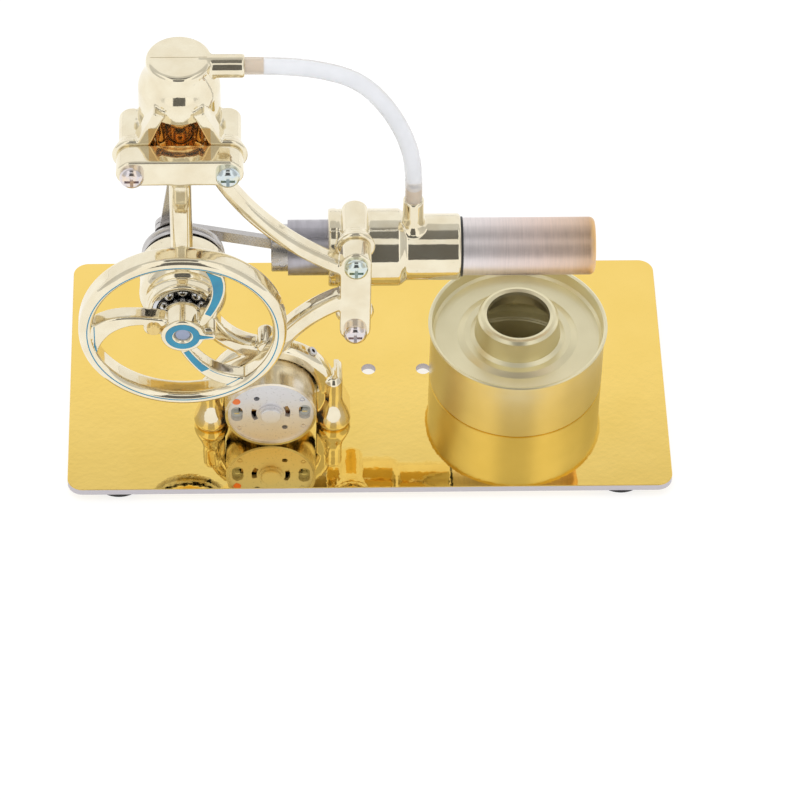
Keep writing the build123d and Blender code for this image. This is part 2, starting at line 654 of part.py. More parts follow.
with BuildPart() as power_cylinder:
    with BuildSketch(lathe(POWER_AXIS)):
        with BuildLine():
            Line((POWER_CASTING_BOTTOM, 0), (POWER_CASTING_BOTTOM, 13.0))
            Line((POWER_CASTING_BOTTOM, 13.0), (POWER_CASTING_BOTTOM + 0.6, 13.6))
            Line((POWER_CASTING_BOTTOM + 0.6, 13.6), (DECK + 117.6, 13.6))
            Line((DECK + 117.6, 13.6), (DECK + 118.6, 12.8))
            Line((DECK + 118.6, 12.8), (DECK + 130.4, 12.7))
            Spline(*POWER_DOME, tangents=((1, 0), (1, 0)))
            ThreePointArc(POWER_DOME[-1], (POWER_TOP_Z - 0.35, 9.75), (POWER_TOP_Z, 8.9))
            Line((POWER_TOP_Z, 8.9), (POWER_TOP_Z, 0))
            Line((POWER_TOP_Z, 0), (POWER_CASTING_BOTTOM, 0))
        make_face()
    revolve(axis=POWER_AXIS)
    add(casting_recess.part, mode=Mode.SUBTRACT)
    for side in (-1, 1):
        bracket_boss(CRANK_X + side * SCREW_PITCH / 2, POWER_BRACKET_Z)
    bracket_web(front_plane(-8.0, CRANK_X, POWER_BRACKET_Z))
    # slanted ribs from the bosses to the barrel
    with BuildSketch(front_plane(-8.0, CRANK_X, POWER_BRACKET_Z)) as ribs:
        for side in (-1, 1):
            with BuildLine() as rib:
                Polyline(*[(side * x, y) for x, y in RIB_OUTLINE], close=True)
            make_face(rib.edges())
    extrude(ribs.sketch, amount=RIB_FRONT)
    # nipple boss towards +X
    turn(
        port,
        (6.0, 0),
        (6.0, 3.7),
        (POWER_NIPPLE_REACH - 0.5, 3.7),
        (POWER_NIPPLE_REACH, 3.2),
        (POWER_NIPPLE_REACH, 0),
    )
    # parting line of the mould across the top
    mould_line = (CRANK_X - 8.4, -1.05, POWER_TOP_Z - 0.25)
    block(mould_line, (CRANK_X + 8.4, -0.85, POWER_TOP_Z), mode=Mode.SUBTRACT)
    # bore, chamber, gas port and spigot seat
    ring(POWER_AXIS, POWER_CASTING_BOTTOM, POWER_LINER_TOP, LINER_RADIUS, 0, mode=Mode.SUBTRACT)
    ring(POWER_AXIS, POWER_LINER_TOP, POWER_BORE_TOP, LINER_BORE, 0, mode=Mode.SUBTRACT)
    ring(port, 0, POWER_NIPPLE_REACH, SPIGOT_BORE, 0, mode=Mode.SUBTRACT)
    ring(port, 10.0, POWER_NIPPLE_REACH, SPIGOT_RADIUS, 0, mode=Mode.SUBTRACT)
    for side in (-1, 1):
        boss_hole = along_y(CRANK_X + side * SCREW_PITCH / 2, POWER_BRACKET_Z)
        ring(boss_hole, FRAME_BACK, -5.0, 2.0, 0, mode=Mode.SUBTRACT)
save(power_cylinder.part, "power_cylinder")

with BuildPart() as power_liner:
    ring(POWER_AXIS, POWER_LINER_BOTTOM, POWER_LINER_TOP, LINER_RADIUS, LINER_BORE)
save(power_liner.part, "power_liner")

with BuildPart() as power_spigot:
    ring(port, 10.0, POWER_NIPPLE_REACH + SPIGOT_OUT, SPIGOT_RADIUS, SPIGOT_BORE)
save(power_spigot.part, "power_spigot")

power_screws = [pan_head_screw(CRANK_X + side * SCREW_PITCH / 2, POWER_BRACKET_Z) for side in (-1, 1)]
with BuildPart() as power_bracket_screws:
    add(power_screws)
save(power_bracket_screws.part, "power_bracket_screws")

POWER_PISTON_BOTTOM = POWER_PIN_Z - PISTON_SKIRT
POWER_PISTON_LENGTH = 24.0

with BuildPart() as power_piston:
    turn(
        POWER_AXIS,
        (POWER_PISTON_BOTTOM, 6.2),
        (POWER_PISTON_BOTTOM, PISTON_RADIUS - 0.3),
        (POWER_PISTON_BOTTOM + 0.3, PISTON_RADIUS),
        (POWER_PISTON_BOTTOM + POWER_PISTON_LENGTH, PISTON_RADIUS),
        (POWER_PISTON_BOTTOM + POWER_PISTON_LENGTH, 0),
        (POWER_PISTON_BOTTOM + POWER_PISTON_LENGTH - 2.5, 0),
        (POWER_PISTON_BOTTOM + POWER_PISTON_LENGTH - 2.5, 6.2),
    )
    ring(along_y(CRANK_X, POWER_PIN_Z), -10, 8, WRIST_RADIUS, 0, mode=Mode.SUBTRACT)
save(power_piston.part, "power_piston")

with BuildPart() as power_wrist_pin:
    ring(along_y(CRANK_X, POWER_PIN_Z), CYLINDER_Y - 7.3, CYLINDER_Y + 7.3, WRIST_RADIUS, 0)
save(power_wrist_pin.part, "power_wrist_pin")

# ---------------------------------------------------------------- displacer cylinder (lying)

SLIDE_LINER_LEFT = -26.2
SLIDE_LINER_RIGHT = 11.5
GLAND_LEFT = 6.5
STEM_RADIUS = 1.2

with BuildPart() as displacer_cylinder:
    turn(
        SLIDE_AXIS,
        (-13.4, 0),
        (-13.4, 12.0),
        (-12.9, 12.5),
        (-10.8, 12.5),
        (-10.4, 12.1),
        (-10.0, 12.4),
        (9.2, 12.4),
        (10.4, 11.6),
        (11.4, 10.65),
        (SLIDE_CASTING_END - 0.5, 10.65),
        (SLIDE_CASTING_END, 10.15),
        (SLIDE_CASTING_END, 0),
    )
    for side in (-1, 1):
        bracket_boss(SLIDE_BRACKET_X, SLIDE_BRACKET_Z + side * SCREW_PITCH / 2)
    bracket_web(Plane(origin=(SLIDE_BRACKET_X, -8.0, SLIDE_BRACKET_Z), x_dir=(0, 0, -1), z_dir=(0, -1, 0)))
    # nipple boss on top with a flared root
    turn(
        Axis((SLIDE_NIPPLE_X, CYLINDER_Y, CRANK_Z), (0, 0, 1)),
        (9.2, 0),
        (9.2, 5.0),
        (10.3, 4.9),
        (11.0, 4.1),
        (11.9, 3.55),
        (13.2, 3.35),
        (SLIDE_NIPPLE_TOP - CRANK_Z - 0.4, 3.35),
        (SLIDE_NIPPLE_TOP - CRANK_Z, 2.95),
        (SLIDE_NIPPLE_TOP - CRANK_Z, 0),
    )
    # bore, hot cap seat, gas port and spigot seat
    ring(SLIDE_AXIS, -13.4, SLIDE_LINER_RIGHT, LINER_RADIUS, 0, mode=Mode.SUBTRACT)
    ring(SLIDE_AXIS, SLIDE_LINER_RIGHT, SLIDE_CASTING_END, HOT_CAP_RADIUS - 0.6, 0, mode=Mode.SUBTRACT)
    ring(SLIDE_AXIS, HOT_CAP_START, SLIDE_CASTING_END, HOT_CAP_RADIUS, 0, mode=Mode.SUBTRACT)
    slide_port = Axis((SLIDE_NIPPLE_X, CYLINDER_Y, CRANK_Z), (0, 0, 1))
    ring(slide_port, 7.0, SLIDE_NIPPLE_TOP - CRANK_Z, SPIGOT_BORE, 0, mode=Mode.SUBTRACT)
    ring(slide_port, 11.5, SLIDE_NIPPLE_TOP - CRANK_Z, SPIGOT_RADIUS, 0, mode=Mode.SUBTRACT)
    for side in (-1, 1):
        boss_hole = along_y(SLIDE_BRACKET_X, SLIDE_BRACKET_Z + side * SCREW_PITCH / 2)
        ring(boss_hole, FRAME_BACK, -5.0, 2.0, 0, mode=Mode.SUBTRACT)
save(displacer_cylinder.part, "displacer_cylinder")

with BuildPart() as displacer_liner:
    ring(SLIDE_AXIS, SLIDE_LINER_LEFT, SLIDE_LINER_RIGHT, LINER_RADIUS, LINER_BORE)
save(displacer_liner.part, "displacer_liner")

with BuildPart() as displacer_gland:
    ring(SLIDE_AXIS, GLAND_LEFT, SLIDE_LINER_RIGHT, LINER_BORE, STEM_RADIUS + RUNNING)
    ring(SLIDE_AXIS, GLAND_LEFT, GLAND_LEFT + 2.0, 6.0, 2.4, mode=Mode.SUBTRACT)
save(displacer_gland.part, "displacer_gland")

with BuildPart() as displacer_spigot:
    ring(slide_port, 11.5, SLIDE_NIPPLE_TOP + SPIGOT_OUT - CRANK_Z, SPIGOT_RADIUS, SPIGOT_BORE)
save(displacer_spigot.part, "displacer_spigot")

slide_heights = [SLIDE_BRACKET_Z + side * SCREW_PITCH / 2 for side in (-1, 1)]
slide_screws = [pan_head_screw(SLIDE_BRACKET_X, height) for height in slide_heights]
with BuildPart() as displacer_bracket_screws:
    add(slide_screws)
save(displacer_bracket_screws.part, "displacer_bracket_screws")

with BuildPart() as hot_cap_seal:
    ring(SLIDE_AXIS, SLIDE_CASTING_END, SLIDE_CASTING_END + 0.7, 9.6, HOT_CAP_RADIUS)
save(hot_cap_seal.part, "hot_cap_seal")

with BuildPart() as hot_cap:
    ring(SLIDE_AXIS, HOT_CAP_START, HOT_CAP_END, HOT_CAP_RADIUS, 0)
    fillet(hot_cap.faces().sort_by(Axis.X)[-1].edges(), 1.8)
    ring(SLIDE_AXIS, HOT_CAP_START, HOT_CAP_END - 0.8, HOT_CAP_RADIUS - 0.6, 0, mode=Mode.SUBTRACT)
save(hot_cap.part, "hot_cap")

CROSSHEAD_LEFT = SLIDE_PIN_X - PISTON_SKIRT
CROSSHEAD_LENGTH = 20.0
DISPLACER_LEFT = 17.5
DISPLACER_RIGHT = 53.0

with BuildPart() as crosshead:
    turn(
        SLIDE_AXIS,
        (CROSSHEAD_LEFT, 6.2),
        (CROSSHEAD_LEFT, PISTON_RADIUS - 0.3),
        (CROSSHEAD_LEFT + 0.3, PISTON_RADIUS),
        (CROSSHEAD_LEFT + CROSSHEAD_LENGTH, PISTON_RADIUS),
        (CROSSHEAD_LEFT + CROSSHEAD_LENGTH, STEM_RADIUS),
        (CROSSHEAD_LEFT + CROSSHEAD_LENGTH - 6.0, STEM_RADIUS),
        (CROSSHEAD_LEFT + CROSSHEAD_LENGTH - 6.0, 6.2),
    )
    ring(along_y(SLIDE_PIN_X, CRANK_Z), -10, 8, WRIST_RADIUS, 0, mode=Mode.SUBTRACT)
save(crosshead.part, "crosshead")

with BuildPart() as crosshead_pin:
    ring(along_y(SLIDE_PIN_X, CRANK_Z), CYLINDER_Y - 7.3, CYLINDER_Y + 7.3, WRIST_RADIUS, 0)
save(crosshead_pin.part, "crosshead_pin")

with BuildPart() as displacer_stem:
    ring(SLIDE_AXIS, CROSSHEAD_LEFT + CROSSHEAD_LENGTH - 6.0, DISPLACER_LEFT + 4.0, STEM_RADIUS, 0)
save(displacer_stem.part, "displacer_stem")

DISPLACER_RADIUS = 8.0
DISPLACER_WALL = 0.5

with BuildPart() as displacer_body:
    ring(SLIDE_AXIS, DISPLACER_LEFT, DISPLACER_RIGHT, DISPLACER_RADIUS, 0)
    fillet(displacer_body.faces().sort_by(Axis.X)[-1].edges(), 1.5)
    turn(
        SLIDE_AXIS,
        (DISPLACER_LEFT, 0),
        (DISPLACER_LEFT, DISPLACER_RADIUS - DISPLACER_WALL),
        (DISPLACER_RIGHT - 1.6, DISPLACER_RADIUS - DISPLACER_WALL),
        (DISPLACER_RIGHT - 0.8, DISPLACER_RADIUS - 1.5),
        (DISPLACER_RIGHT - 0.8, 0),
        mode=Mode.SUBTRACT,
    )
save(displacer_body.part, "displacer_body")

with BuildPart() as displacer_plug:
    ring(SLIDE_AXIS, DISPLACER_LEFT, DISPLACER_LEFT + 4.0, DISPLACER_RADIUS - DISPLACER_WALL, STEM_RADIUS)
save(displacer_plug.part, "displacer_plug")

# ---------------------------------------------------------------- silicone hose

HOSE_ROUTE = [
    (POWER_NIPPLE_END, CYLINDER_Y, POWER_NIPPLE_Z),
    (-29.5, CYLINDER_Y, POWER_NIPPLE_Z),
    (-17.0, CYLINDER_Y, POWER_NIPPLE_Z - 1.5),
    (-4.5, CYLINDER_Y, DECK + 132.8),
    (4.6, CYLINDER_Y, DECK + 121.5),
    (10.8, CYLINDER_Y, DECK + 107.5),
    (SLIDE_NIPPLE_X, CYLINDER_Y, DECK + 94.3),
    (SLIDE_NIPPLE_X, CYLINDER_Y, SLIDE_NIPPLE_TOP),
]


def route_radii(points):
    """Largest arc that the runs beside each inner point of a route allow."""
    radii = []
    for before, point, after in zip(points, points[1:], points[2:]):
        arrive = Vector(*point) - Vector(*before)
        leave = Vector(*after) - Vector(*point)
        half_turn = math.radians(arrive.get_angle(leave)) / 2
        radii.append(0.45 * min(arrive.length, leave.length) / math.tan(half_turn))
    return radii


hose_radii = route_radii(HOSE_ROUTE)
with BuildPart() as silicone_hose:
    with BuildLine() as hose_path:
        FilletPolyline(*HOSE_ROUTE, radius=hose_radii)
    with BuildSketch(Plane(origin=hose_path.line @ 0, z_dir=hose_path.line % 0)):
        Circle(HOSE_RADIUS)
        Circle(SPIGOT_RADIUS, mode=Mode.SUBTRACT)
    sweep(path=hose_path.line)
save(silicone_hose.part, "silicone_hose")
hose_section = math.pi * (HOSE_RADIUS**2 - SPIGOT_RADIUS**2)
print("hose radii", [round(radius, 1) for radius in hose_radii])
hose_length = hose_path.wires()[0].length
print("hose length", round(hose_length, 2))
print("hose volume", round(silicone_hose.part.volume, 1), round(hose_section * hose_length, 1))

# ---------------------------------------------------------------- generator motor

MOTOR_BACK = MOTOR_FRONT + MOTOR_LENGTH
MOTOR_FACE = MOTOR_FRONT + 0.8
MOTOR_INSIDE = MOTOR_RADIUS - MOTOR_WALL
MOTOR_BOSS_FRONT = MOTOR_FACE - 1.8
TERMINAL_REACH = 10.9
VENT_OUTER = 6.3
VENT_INNER = 4.7

with BuildPart() as motor_can:
    ring(MOTOR_AXIS, MOTOR_FRONT, MOTOR_BACK, MOTOR_RADIUS, 0)
    fillet(motor_can.faces().sort_by(Axis.Y)[-1].edges(), 0.9)
    ring(MOTOR_AXIS, MOTOR_FRONT, MOTOR_BACK - 1.0, MOTOR_INSIDE, 0, mode=Mode.SUBTRACT)
    ring(MOTOR_AXIS, MOTOR_BACK - 1.0, MOTOR_BACK + 1.5, 4.0, 0)
    ring(MOTOR_AXIS, MOTOR_BACK - 1.0, MOTOR_BACK + 1.5, 3.0, 0, mode=Mode.SUBTRACT)
save(motor_can.part, "motor_can")

with BuildPart() as motor_end_cap:
    ring(MOTOR_AXIS, MOTOR_FACE, MOTOR_FACE + 1.6, MOTOR_INSIDE, 0)
    ring(MOTOR_AXIS, MOTOR_FACE - 0.7, MOTOR_FACE + 1.6, 3.95, 0)
    ring(MOTOR_AXIS, MOTOR_BOSS_FRONT, MOTOR_FACE, 3.3, 0)
    chamfer(motor_end_cap.faces().sort_by(Axis.Y)[0].edges(), 0.3)
    ring(MOTOR_AXIS, MOTOR_BOSS_FRONT + 0.6, MOTOR_FACE + 1.6, 2.6, 0, mode=Mode.SUBTRACT)
    with BuildSketch(front_plane(MOTOR_FACE + 1.6, MOTOR_X, MOTOR_Z)):
        with Locations((-4.5, 6.8), (4.5, -6.8)):
            Circle(0.95)
        with Locations((-TERMINAL_REACH, -0.4), (TERMINAL_REACH, 0.4)):
            SlotOverall(6.6, 3.7, rotation=90)
        for facing in (7, 187):
            with BuildLine():
                CenterArc((0, 0), VENT_OUTER, facing - 26, 52)
                Line(polar(VENT_OUTER, facing + 26), polar(VENT_INNER, facing + 26))
                CenterArc((0, 0), VENT_INNER, facing - 26, 52)
                Line(polar(VENT_INNER, facing - 26), polar(VENT_OUTER, facing - 26))
            make_face()
    extrude(amount=4.0, mode=Mode.SUBTRACT)
    with BuildSketch(front_plane(MOTOR_FACE + 0.3, MOTOR_X, MOTOR_Z)):
        with Locations((-10.1, -7.0), (10.5, -6.2), (10.1, 6.4)):
            Circle(0.9)
            Circle(0.55, mode=Mode.SUBTRACT)
    extrude(amount=1.0, mode=Mode.SUBTRACT)
save(motor_end_cap.part, "motor_end_cap")

with BuildPart() as motor_mark:
    ring(along_y(MOTOR_X - 11.0, MOTOR_Z + 5.5), MOTOR_FACE - 0.12, MOTOR_FACE, 1.3, 0)
save(motor_mark.part, "motor_mark")

with BuildPart() as motor_brush_holder:
    with BuildSketch(front_plane(MOTOR_FACE + 2.8, MOTOR_X, MOTOR_Z)):
        Circle(MOTOR_INSIDE - 0.2)
        Circle(9.3, mode=Mode.SUBTRACT)
        for side in (-1, 1):
            with Locations((side * TERMINAL_REACH, side * 0.4)):
                Rectangle(1.8, 0.8, mode=Mode.SUBTRACT)
            with Locations((side * 8.4, 0)):
                Rectangle(4.0, 2.2, mode=Mode.SUBTRACT)
    extrude(amount=1.2)
save(motor_brush_holder.part, "motor_brush_holder")

with BuildPart() as motor_terminals:
    for side in (-1, 1):
        x = MOTOR_X + side * TERMINAL_REACH
        z = MOTOR_Z + side * 0.4
        block((x - 0.8, MOTOR_FACE + 0.3, z - 0.3), (x + 0.8, MOTOR_FACE + 3.3, z + 0.3))
        block((x - 0.8, MOTOR_FACE + 2.9, z - 1.3), (x + 0.8, MOTOR_FACE + 3.3, z + 1.3))
save(motor_terminals.part, "motor_terminals")

COMMUTATOR_RADIUS = 2.8
COMMUTATOR_SPAN = (-29.3, -27.4)

with BuildPart() as motor_brushes:
    for side in (-1, 1):
        near = MOTOR_X + side * (COMMUTATOR_RADIUS + 0.06)
        far = MOTOR_X + side * (TERMINAL_REACH - 1.2)
        tip = (min(near, near + side * 0.5), max(near, near + side * 0.5))
        span = (min(near, far), max(near, far))
        front, back = COMMUTATOR_SPAN
        block((tip[0], front, MOTOR_Z - 1.4), (tip[1], back, MOTOR_Z + 1.4))
        block((span[0], front - 0.3, MOTOR_Z - 1.0), (span[1], front, MOTOR_Z + 1.0))
save(motor_brushes.part, "motor_brushes")

with BuildPart() as motor_bushes:
    ring(MOTOR_AXIS, MOTOR_BOSS_FRONT + 0.8, MOTOR_FACE + 1.6, 2.6, MOTOR_SHAFT_RADIUS + RUNNING)
    ring(MOTOR_AXIS, MOTOR_BACK - 1.0, MOTOR_BACK + 1.5, 3.0, MOTOR_SHAFT_RADIUS + RUNNING)
save(motor_bushes.part, "motor_bushes")

with BuildPart() as motor_magnets:
    with BuildSketch(front_plane(-14.6, MOTOR_X, MOTOR_Z)):
        Circle(MOTOR_INSIDE)
        Circle(11.2, mode=Mode.SUBTRACT)
        Rectangle(40, 9.0, mode=Mode.SUBTRACT)
    extrude(amount=13.0)
save(motor_magnets.part, "motor_magnets")

with BuildPart() as motor_shaft:
    ring(MOTOR_AXIS, MOTOR_BOSS_FRONT + 1.0, -4.2, MOTOR_SHAFT_RADIUS, 0)
save(motor_shaft.part, "motor_shaft")

POLE_ANGLES = (90.0, 210.0, 330.0)
POLE_NECK = 2.6
ARMATURE_SPAN = (-25.5, -17.0)

with BuildPart() as motor_armature:
    with BuildSketch(front_plane(ARMATURE_SPAN[1], MOTOR_X, MOTOR_Z)):
        Circle(10.7)
        Circle(8.9, mode=Mode.SUBTRACT)
        for angle in POLE_ANGLES:
            with Locations(Location((*polar(10.0, angle + 60), 0), (0, 0, angle + 60))):
                Rectangle(6.0, 2.6, mode=Mode.SUBTRACT)
        for angle in POLE_ANGLES:
            with Locations(Location((*polar(4.7, angle), 0), (0, 0, angle))):
                Rectangle(8.8, POLE_NECK)
        Circle(3.0)
        Circle(MOTOR_SHAFT_RADIUS, mode=Mode.SUBTRACT)
    extrude(amount=ARMATURE_SPAN[1] - ARMATURE_SPAN[0])
save(motor_armature.part, "motor_armature")

with BuildPart() as motor_windings:
    for angle in POLE_ANGLES:
        with BuildSketch(front_plane(ARMATURE_SPAN[1] + 1.2, MOTOR_X, MOTOR_Z)):
            with Locations(Location((*polar(6.1, angle), 0), (0, 0, angle))):
                Rectangle(3.8, 6.4)
        extrude(amount=ARMATURE_SPAN[1] - ARMATURE_SPAN[0] + 2.4)
        with BuildSketch(front_plane(ARMATURE_SPAN[1], MOTOR_X, MOTOR_Z)):
            with Locations(Location((*polar(6.4, angle), 0), (0, 0, angle))):
                Rectangle(4.4, POLE_NECK)
        extrude(amount=ARMATURE_SPAN[1] - ARMATURE_SPAN[0], mode=Mode.SUBTRACT)
save(motor_windings.part, "motor_windings")

with BuildPart() as motor_commutator:
    with BuildSketch(front_plane(COMMUTATOR_SPAN[1] + 0.6, MOTOR_X, MOTOR_Z)):
        Circle(COMMUTATOR_RADIUS)
        Circle(MOTOR_SHAFT_RADIUS, mode=Mode.SUBTRACT)
        for angle in POLE_ANGLES:
            with Locations(Location((*polar(3.0, angle), 0), (0, 0, angle))):
                Rectangle(2.4, 0.4, mode=Mode.SUBTRACT)
    extrude(amount=COMMUTATOR_SPAN[1] - COMMUTATOR_SPAN[0] + 0.6)
save(motor_commutator.part, "motor_commutator")

with BuildPart() as motor_pulley:
    turn(
        MOTOR_AXIS,
        (-9.4, MOTOR_SHAFT_RADIUS),
        (-5.0, MOTOR_SHAFT_RADIUS),
        (-5.0, 4.2),
        (-5.8, 4.2),
        (-6.8, 2.8),
        (-7.4, 2.8),
        (-8.4, 4.2),
        (-9.4, 4.2),
    )
save(motor_pulley.part, "motor_pulley")

# ---------------------------------------------------------------- spirit burner

BURNER_BOTTOM = DECK
BURNER_RIM = DECK + BURNER_HEIGHT
BURNER_LID_Z = DECK + 18.8
COLLAR_TOP = DECK + 28.4
TIN = 0.7
BEAD_RADII = (23.9, 24.9)

with BuildPart() as burner_can:
    ring(BURNER_AXIS, BURNER_BOTTOM, BURNER_LID_Z + 1.2, BURNER_RADIUS, 0)
    fillet(burner_can.faces().sort_by(Axis.Z)[0].edges(), 0.6)
    ring(BURNER_AXIS, BURNER_BOTTOM + TIN, BURNER_LID_Z + 1.2, BURNER_RADIUS - TIN, 0, mode=Mode.SUBTRACT)
    for bead in BEAD_RADII:
        turn(
            BURNER_AXIS,
            (BURNER_BOTTOM + TIN - 0.1, bead + 0.45),
            (BURNER_BOTTOM + TIN + 0.4, bead),
            (BURNER_BOTTOM + TIN - 0.1, bead - 0.45),
        )
save(burner_can.part, "burner_can")

with BuildPart() as burner_lid:
    turn(
        BURNER_AXIS,
        (BURNER_LID_Z + 1.2, BURNER_RADIUS),
        (BURNER_RIM - 0.4, BURNER_RADIUS + 0.1),
        (BURNER_RIM - 0.1, BURNER_RADIUS + 0.8),
        (BURNER_RIM + 0.1, BURNER_RADIUS + 0.3),
        (BURNER_RIM - 0.2, BURNER_RADIUS - 0.4),
        (BURNER_LID_Z + 0.9, 27.6),
        (BURNER_LID_Z, 26.8),
        (BURNER_LID_Z - 0.2, 19.6),
        (BURNER_LID_Z + 0.5, 17.4),
        (BURNER_LID_Z + 0.4, 15.4),
        (BURNER_LID_Z + 1.2, 14.0),
        (COLLAR_TOP - 1.2, 13.1),
        (COLLAR_TOP - 0.2, 12.3),
        (COLLAR_TOP, 11.4),
        (COLLAR_TOP - 0.4, 10.3),
        (COLLAR_TOP - 1.6, 10.0),
        (COLLAR_TOP - 1.6, 10.6),
        (COLLAR_TOP - 0.9, 11.0),
        (COLLAR_TOP - 0.8, 11.8),
        (COLLAR_TOP - 1.6, 12.4),
        (BURNER_LID_Z + 0.8, 13.3),
        (BURNER_LID_Z - 0.3, 15.2),
        (BURNER_LID_Z - 0.9, 19.5),
        (BURNER_LID_Z - 0.7, 27.0),
        (BURNER_LID_Z - 0.2, BURNER_RADIUS - TIN),
        (BURNER_LID_Z + 1.2, BURNER_RADIUS - TIN),
    )
save(burner_lid.part, "burner_lid")
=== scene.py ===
import json
import math

import bpy
from mathutils import Matrix, Vector


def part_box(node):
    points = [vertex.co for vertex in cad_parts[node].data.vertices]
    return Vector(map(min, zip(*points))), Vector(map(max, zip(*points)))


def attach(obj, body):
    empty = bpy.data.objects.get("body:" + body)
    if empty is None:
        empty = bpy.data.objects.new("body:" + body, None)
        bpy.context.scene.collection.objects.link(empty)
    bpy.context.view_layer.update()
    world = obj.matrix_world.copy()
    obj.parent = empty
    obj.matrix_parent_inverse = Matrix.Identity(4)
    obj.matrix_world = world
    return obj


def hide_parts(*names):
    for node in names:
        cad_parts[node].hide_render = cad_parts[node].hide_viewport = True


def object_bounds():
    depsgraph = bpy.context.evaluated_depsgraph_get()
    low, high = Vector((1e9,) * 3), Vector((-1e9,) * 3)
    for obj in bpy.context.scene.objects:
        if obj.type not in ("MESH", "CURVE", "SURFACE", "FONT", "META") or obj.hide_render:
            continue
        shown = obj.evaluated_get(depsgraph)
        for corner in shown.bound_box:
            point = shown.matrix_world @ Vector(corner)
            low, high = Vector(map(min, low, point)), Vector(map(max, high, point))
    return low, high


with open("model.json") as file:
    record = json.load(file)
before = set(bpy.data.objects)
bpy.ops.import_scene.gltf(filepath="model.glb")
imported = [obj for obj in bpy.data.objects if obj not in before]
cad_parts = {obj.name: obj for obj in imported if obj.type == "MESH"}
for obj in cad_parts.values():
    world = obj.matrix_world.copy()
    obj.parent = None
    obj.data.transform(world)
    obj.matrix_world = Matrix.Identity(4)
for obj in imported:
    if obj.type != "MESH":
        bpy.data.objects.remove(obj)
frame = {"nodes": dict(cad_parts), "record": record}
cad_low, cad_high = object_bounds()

MM = 0.001
NODES = frame["nodes"]
SCENE = bpy.context.scene
SCENE.view_settings.view_transform = "Standard"


# ---------------------------------------------------------------- camera

LENS_MM = 195.9
SENSOR_MM = 36.0
CAMERA_PLACE = (-0.03742, -0.97514, 1.05608)
CAMERA_YAW = -2.846
CAMERA_DIP = 47.475
CAMERA_ROLL = 1.634


def make_camera():
    """Long lens from above and in front, turned and rolled a little."""
    data = bpy.data.cameras.new("camera")
    data.lens = LENS_MM
    data.sensor_width = SENSOR_MM
    camera = bpy.data.objects.new("camera", data)
    SCENE.collection.objects.link(camera)
    place = Matrix.Translation(CAMERA_PLACE)
    yaw = Matrix.Rotation(math.radians(CAMERA_YAW), 4, "Z")
    pitch = Matrix.Rotation(math.radians(90.0 - CAMERA_DIP), 4, "X")
    roll = Matrix.Rotation(math.radians(CAMERA_ROLL), 4, "Z")
    camera.matrix_world = place @ yaw @ pitch @ roll
    SCENE.camera = camera


make_camera()


# ---------------------------------------------------------------- hose

DECK = 5.4 * MM
CYLINDER_Y = -1.0 * MM
HOSE_RADIUS = 2.7 * MM
POWER_NIPPLE_Z = DECK + 138.9 * MM
SLIDE_NIPPLE_X = 13.5 * MM
HOSE_ROUND_STEPS = 12
HOSE_LONG_STEPS = 24
HOSE_ORDER = 3
HOSE_ROUTE = [
    (-39.3 * MM, POWER_NIPPLE_Z),
    (-29.5 * MM, POWER_NIPPLE_Z),
    (-17.0 * MM, POWER_NIPPLE_Z - 1.5 * MM),
    (-4.5 * MM, DECK + 132.8 * MM),
    (4.6 * MM, DECK + 121.5 * MM),
    (10.8 * MM, DECK + 107.5 * MM),
    (SLIDE_NIPPLE_X, DECK + 94.3 * MM),
    (SLIDE_NIPPLE_X, DECK + 81.2 * MM),
]


def make_hose():
    """Silicone tube between the two cylinders. The bevel is 1 and each point's radius sets the width."""
    curve = bpy.data.curves.new("hose", "CURVE")
    curve.dimensions = "3D"
    curve.bevel_depth = 1.0
    curve.bevel_resolution = HOSE_ROUND_STEPS
    curve.resolution_u = HOSE_LONG_STEPS
    spline = curve.splines.new("NURBS")
    spline.points.add(len(HOSE_ROUTE) - 1)
    for point, (x, z) in zip(spline.points, HOSE_ROUTE):
        point.co = (x, CYLINDER_Y, z, 1.0)
        point.radius = HOSE_RADIUS
    spline.order_u = HOSE_ORDER
    spline.use_endpoint_u = True
    hose = bpy.data.objects.new("hose", curve)
    SCENE.collection.objects.link(hose)
    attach(hose, "engine_base")
    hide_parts("silicone_hose")
    return hose


hose = make_hose()


# ---------------------------------------------------------------- cast skins

SMOOTH_FACTOR = 0.5
CAST_SKINS = [
    ("frame_casting", 0.38 * MM, 7),
    ("power_cylinder", 0.36 * MM, 7),
    ("displacer_cylinder", 0.36 * MM, 7),
    ("flywheel", 0.32 * MM, 5),
]


def soften(node, voxel, rounds):
    """Remesh and smooth a casting, so that its edges look rounded."""
    piece = NODES[node]
    remesh = piece.modifiers.new("cast_skin", "REMESH")
    remesh.mode = "VOXEL"
    remesh.voxel_size = voxel
    remesh.use_smooth_shade = True
    smooth = piece.modifiers.new("cast_edges", "SMOOTH")
    smooth.factor = SMOOTH_FACTOR
    smooth.iterations = rounds


for cast_node, cast_voxel, cast_rounds in CAST_SKINS:
    soften(cast_node, cast_voxel, cast_rounds)


# ---------------------------------------------------------------- material helpers

# the part of a noise's range that the two ends of a tone are spread over
LOW_STOP = 0.3
HIGH_STOP = 0.7
# how deep a relief can be at full strength
SKIN_DEPTH = 0.2 * MM
GRAIN_DEPTH = 0.1 * MM
LATHE_DEPTH = 0.05 * MM
PEEL_DEPTH = 0.04 * MM
BROAD_SHARE = 0.2
PLASTIC_SPREAD = 0.08


def new_material(name):
    """Node material with only a Principled shader; returns the material, shader, nodes and links."""
    material = bpy.data.materials.new(name)
    material.use_nodes = True
    nodes, links = material.node_tree.nodes, material.node_tree.links
    nodes.clear()
    shader = nodes.new("ShaderNodeBsdfPrincipled")
    output = nodes.new("ShaderNodeOutputMaterial")
    links.new(shader.outputs["BSDF"], output.inputs["Surface"])
    return material, shader, nodes, links


def position(nodes):
    """Socket with the place on the object in metres."""
    return nodes.new("ShaderNodeTexCoord").outputs["Object"]


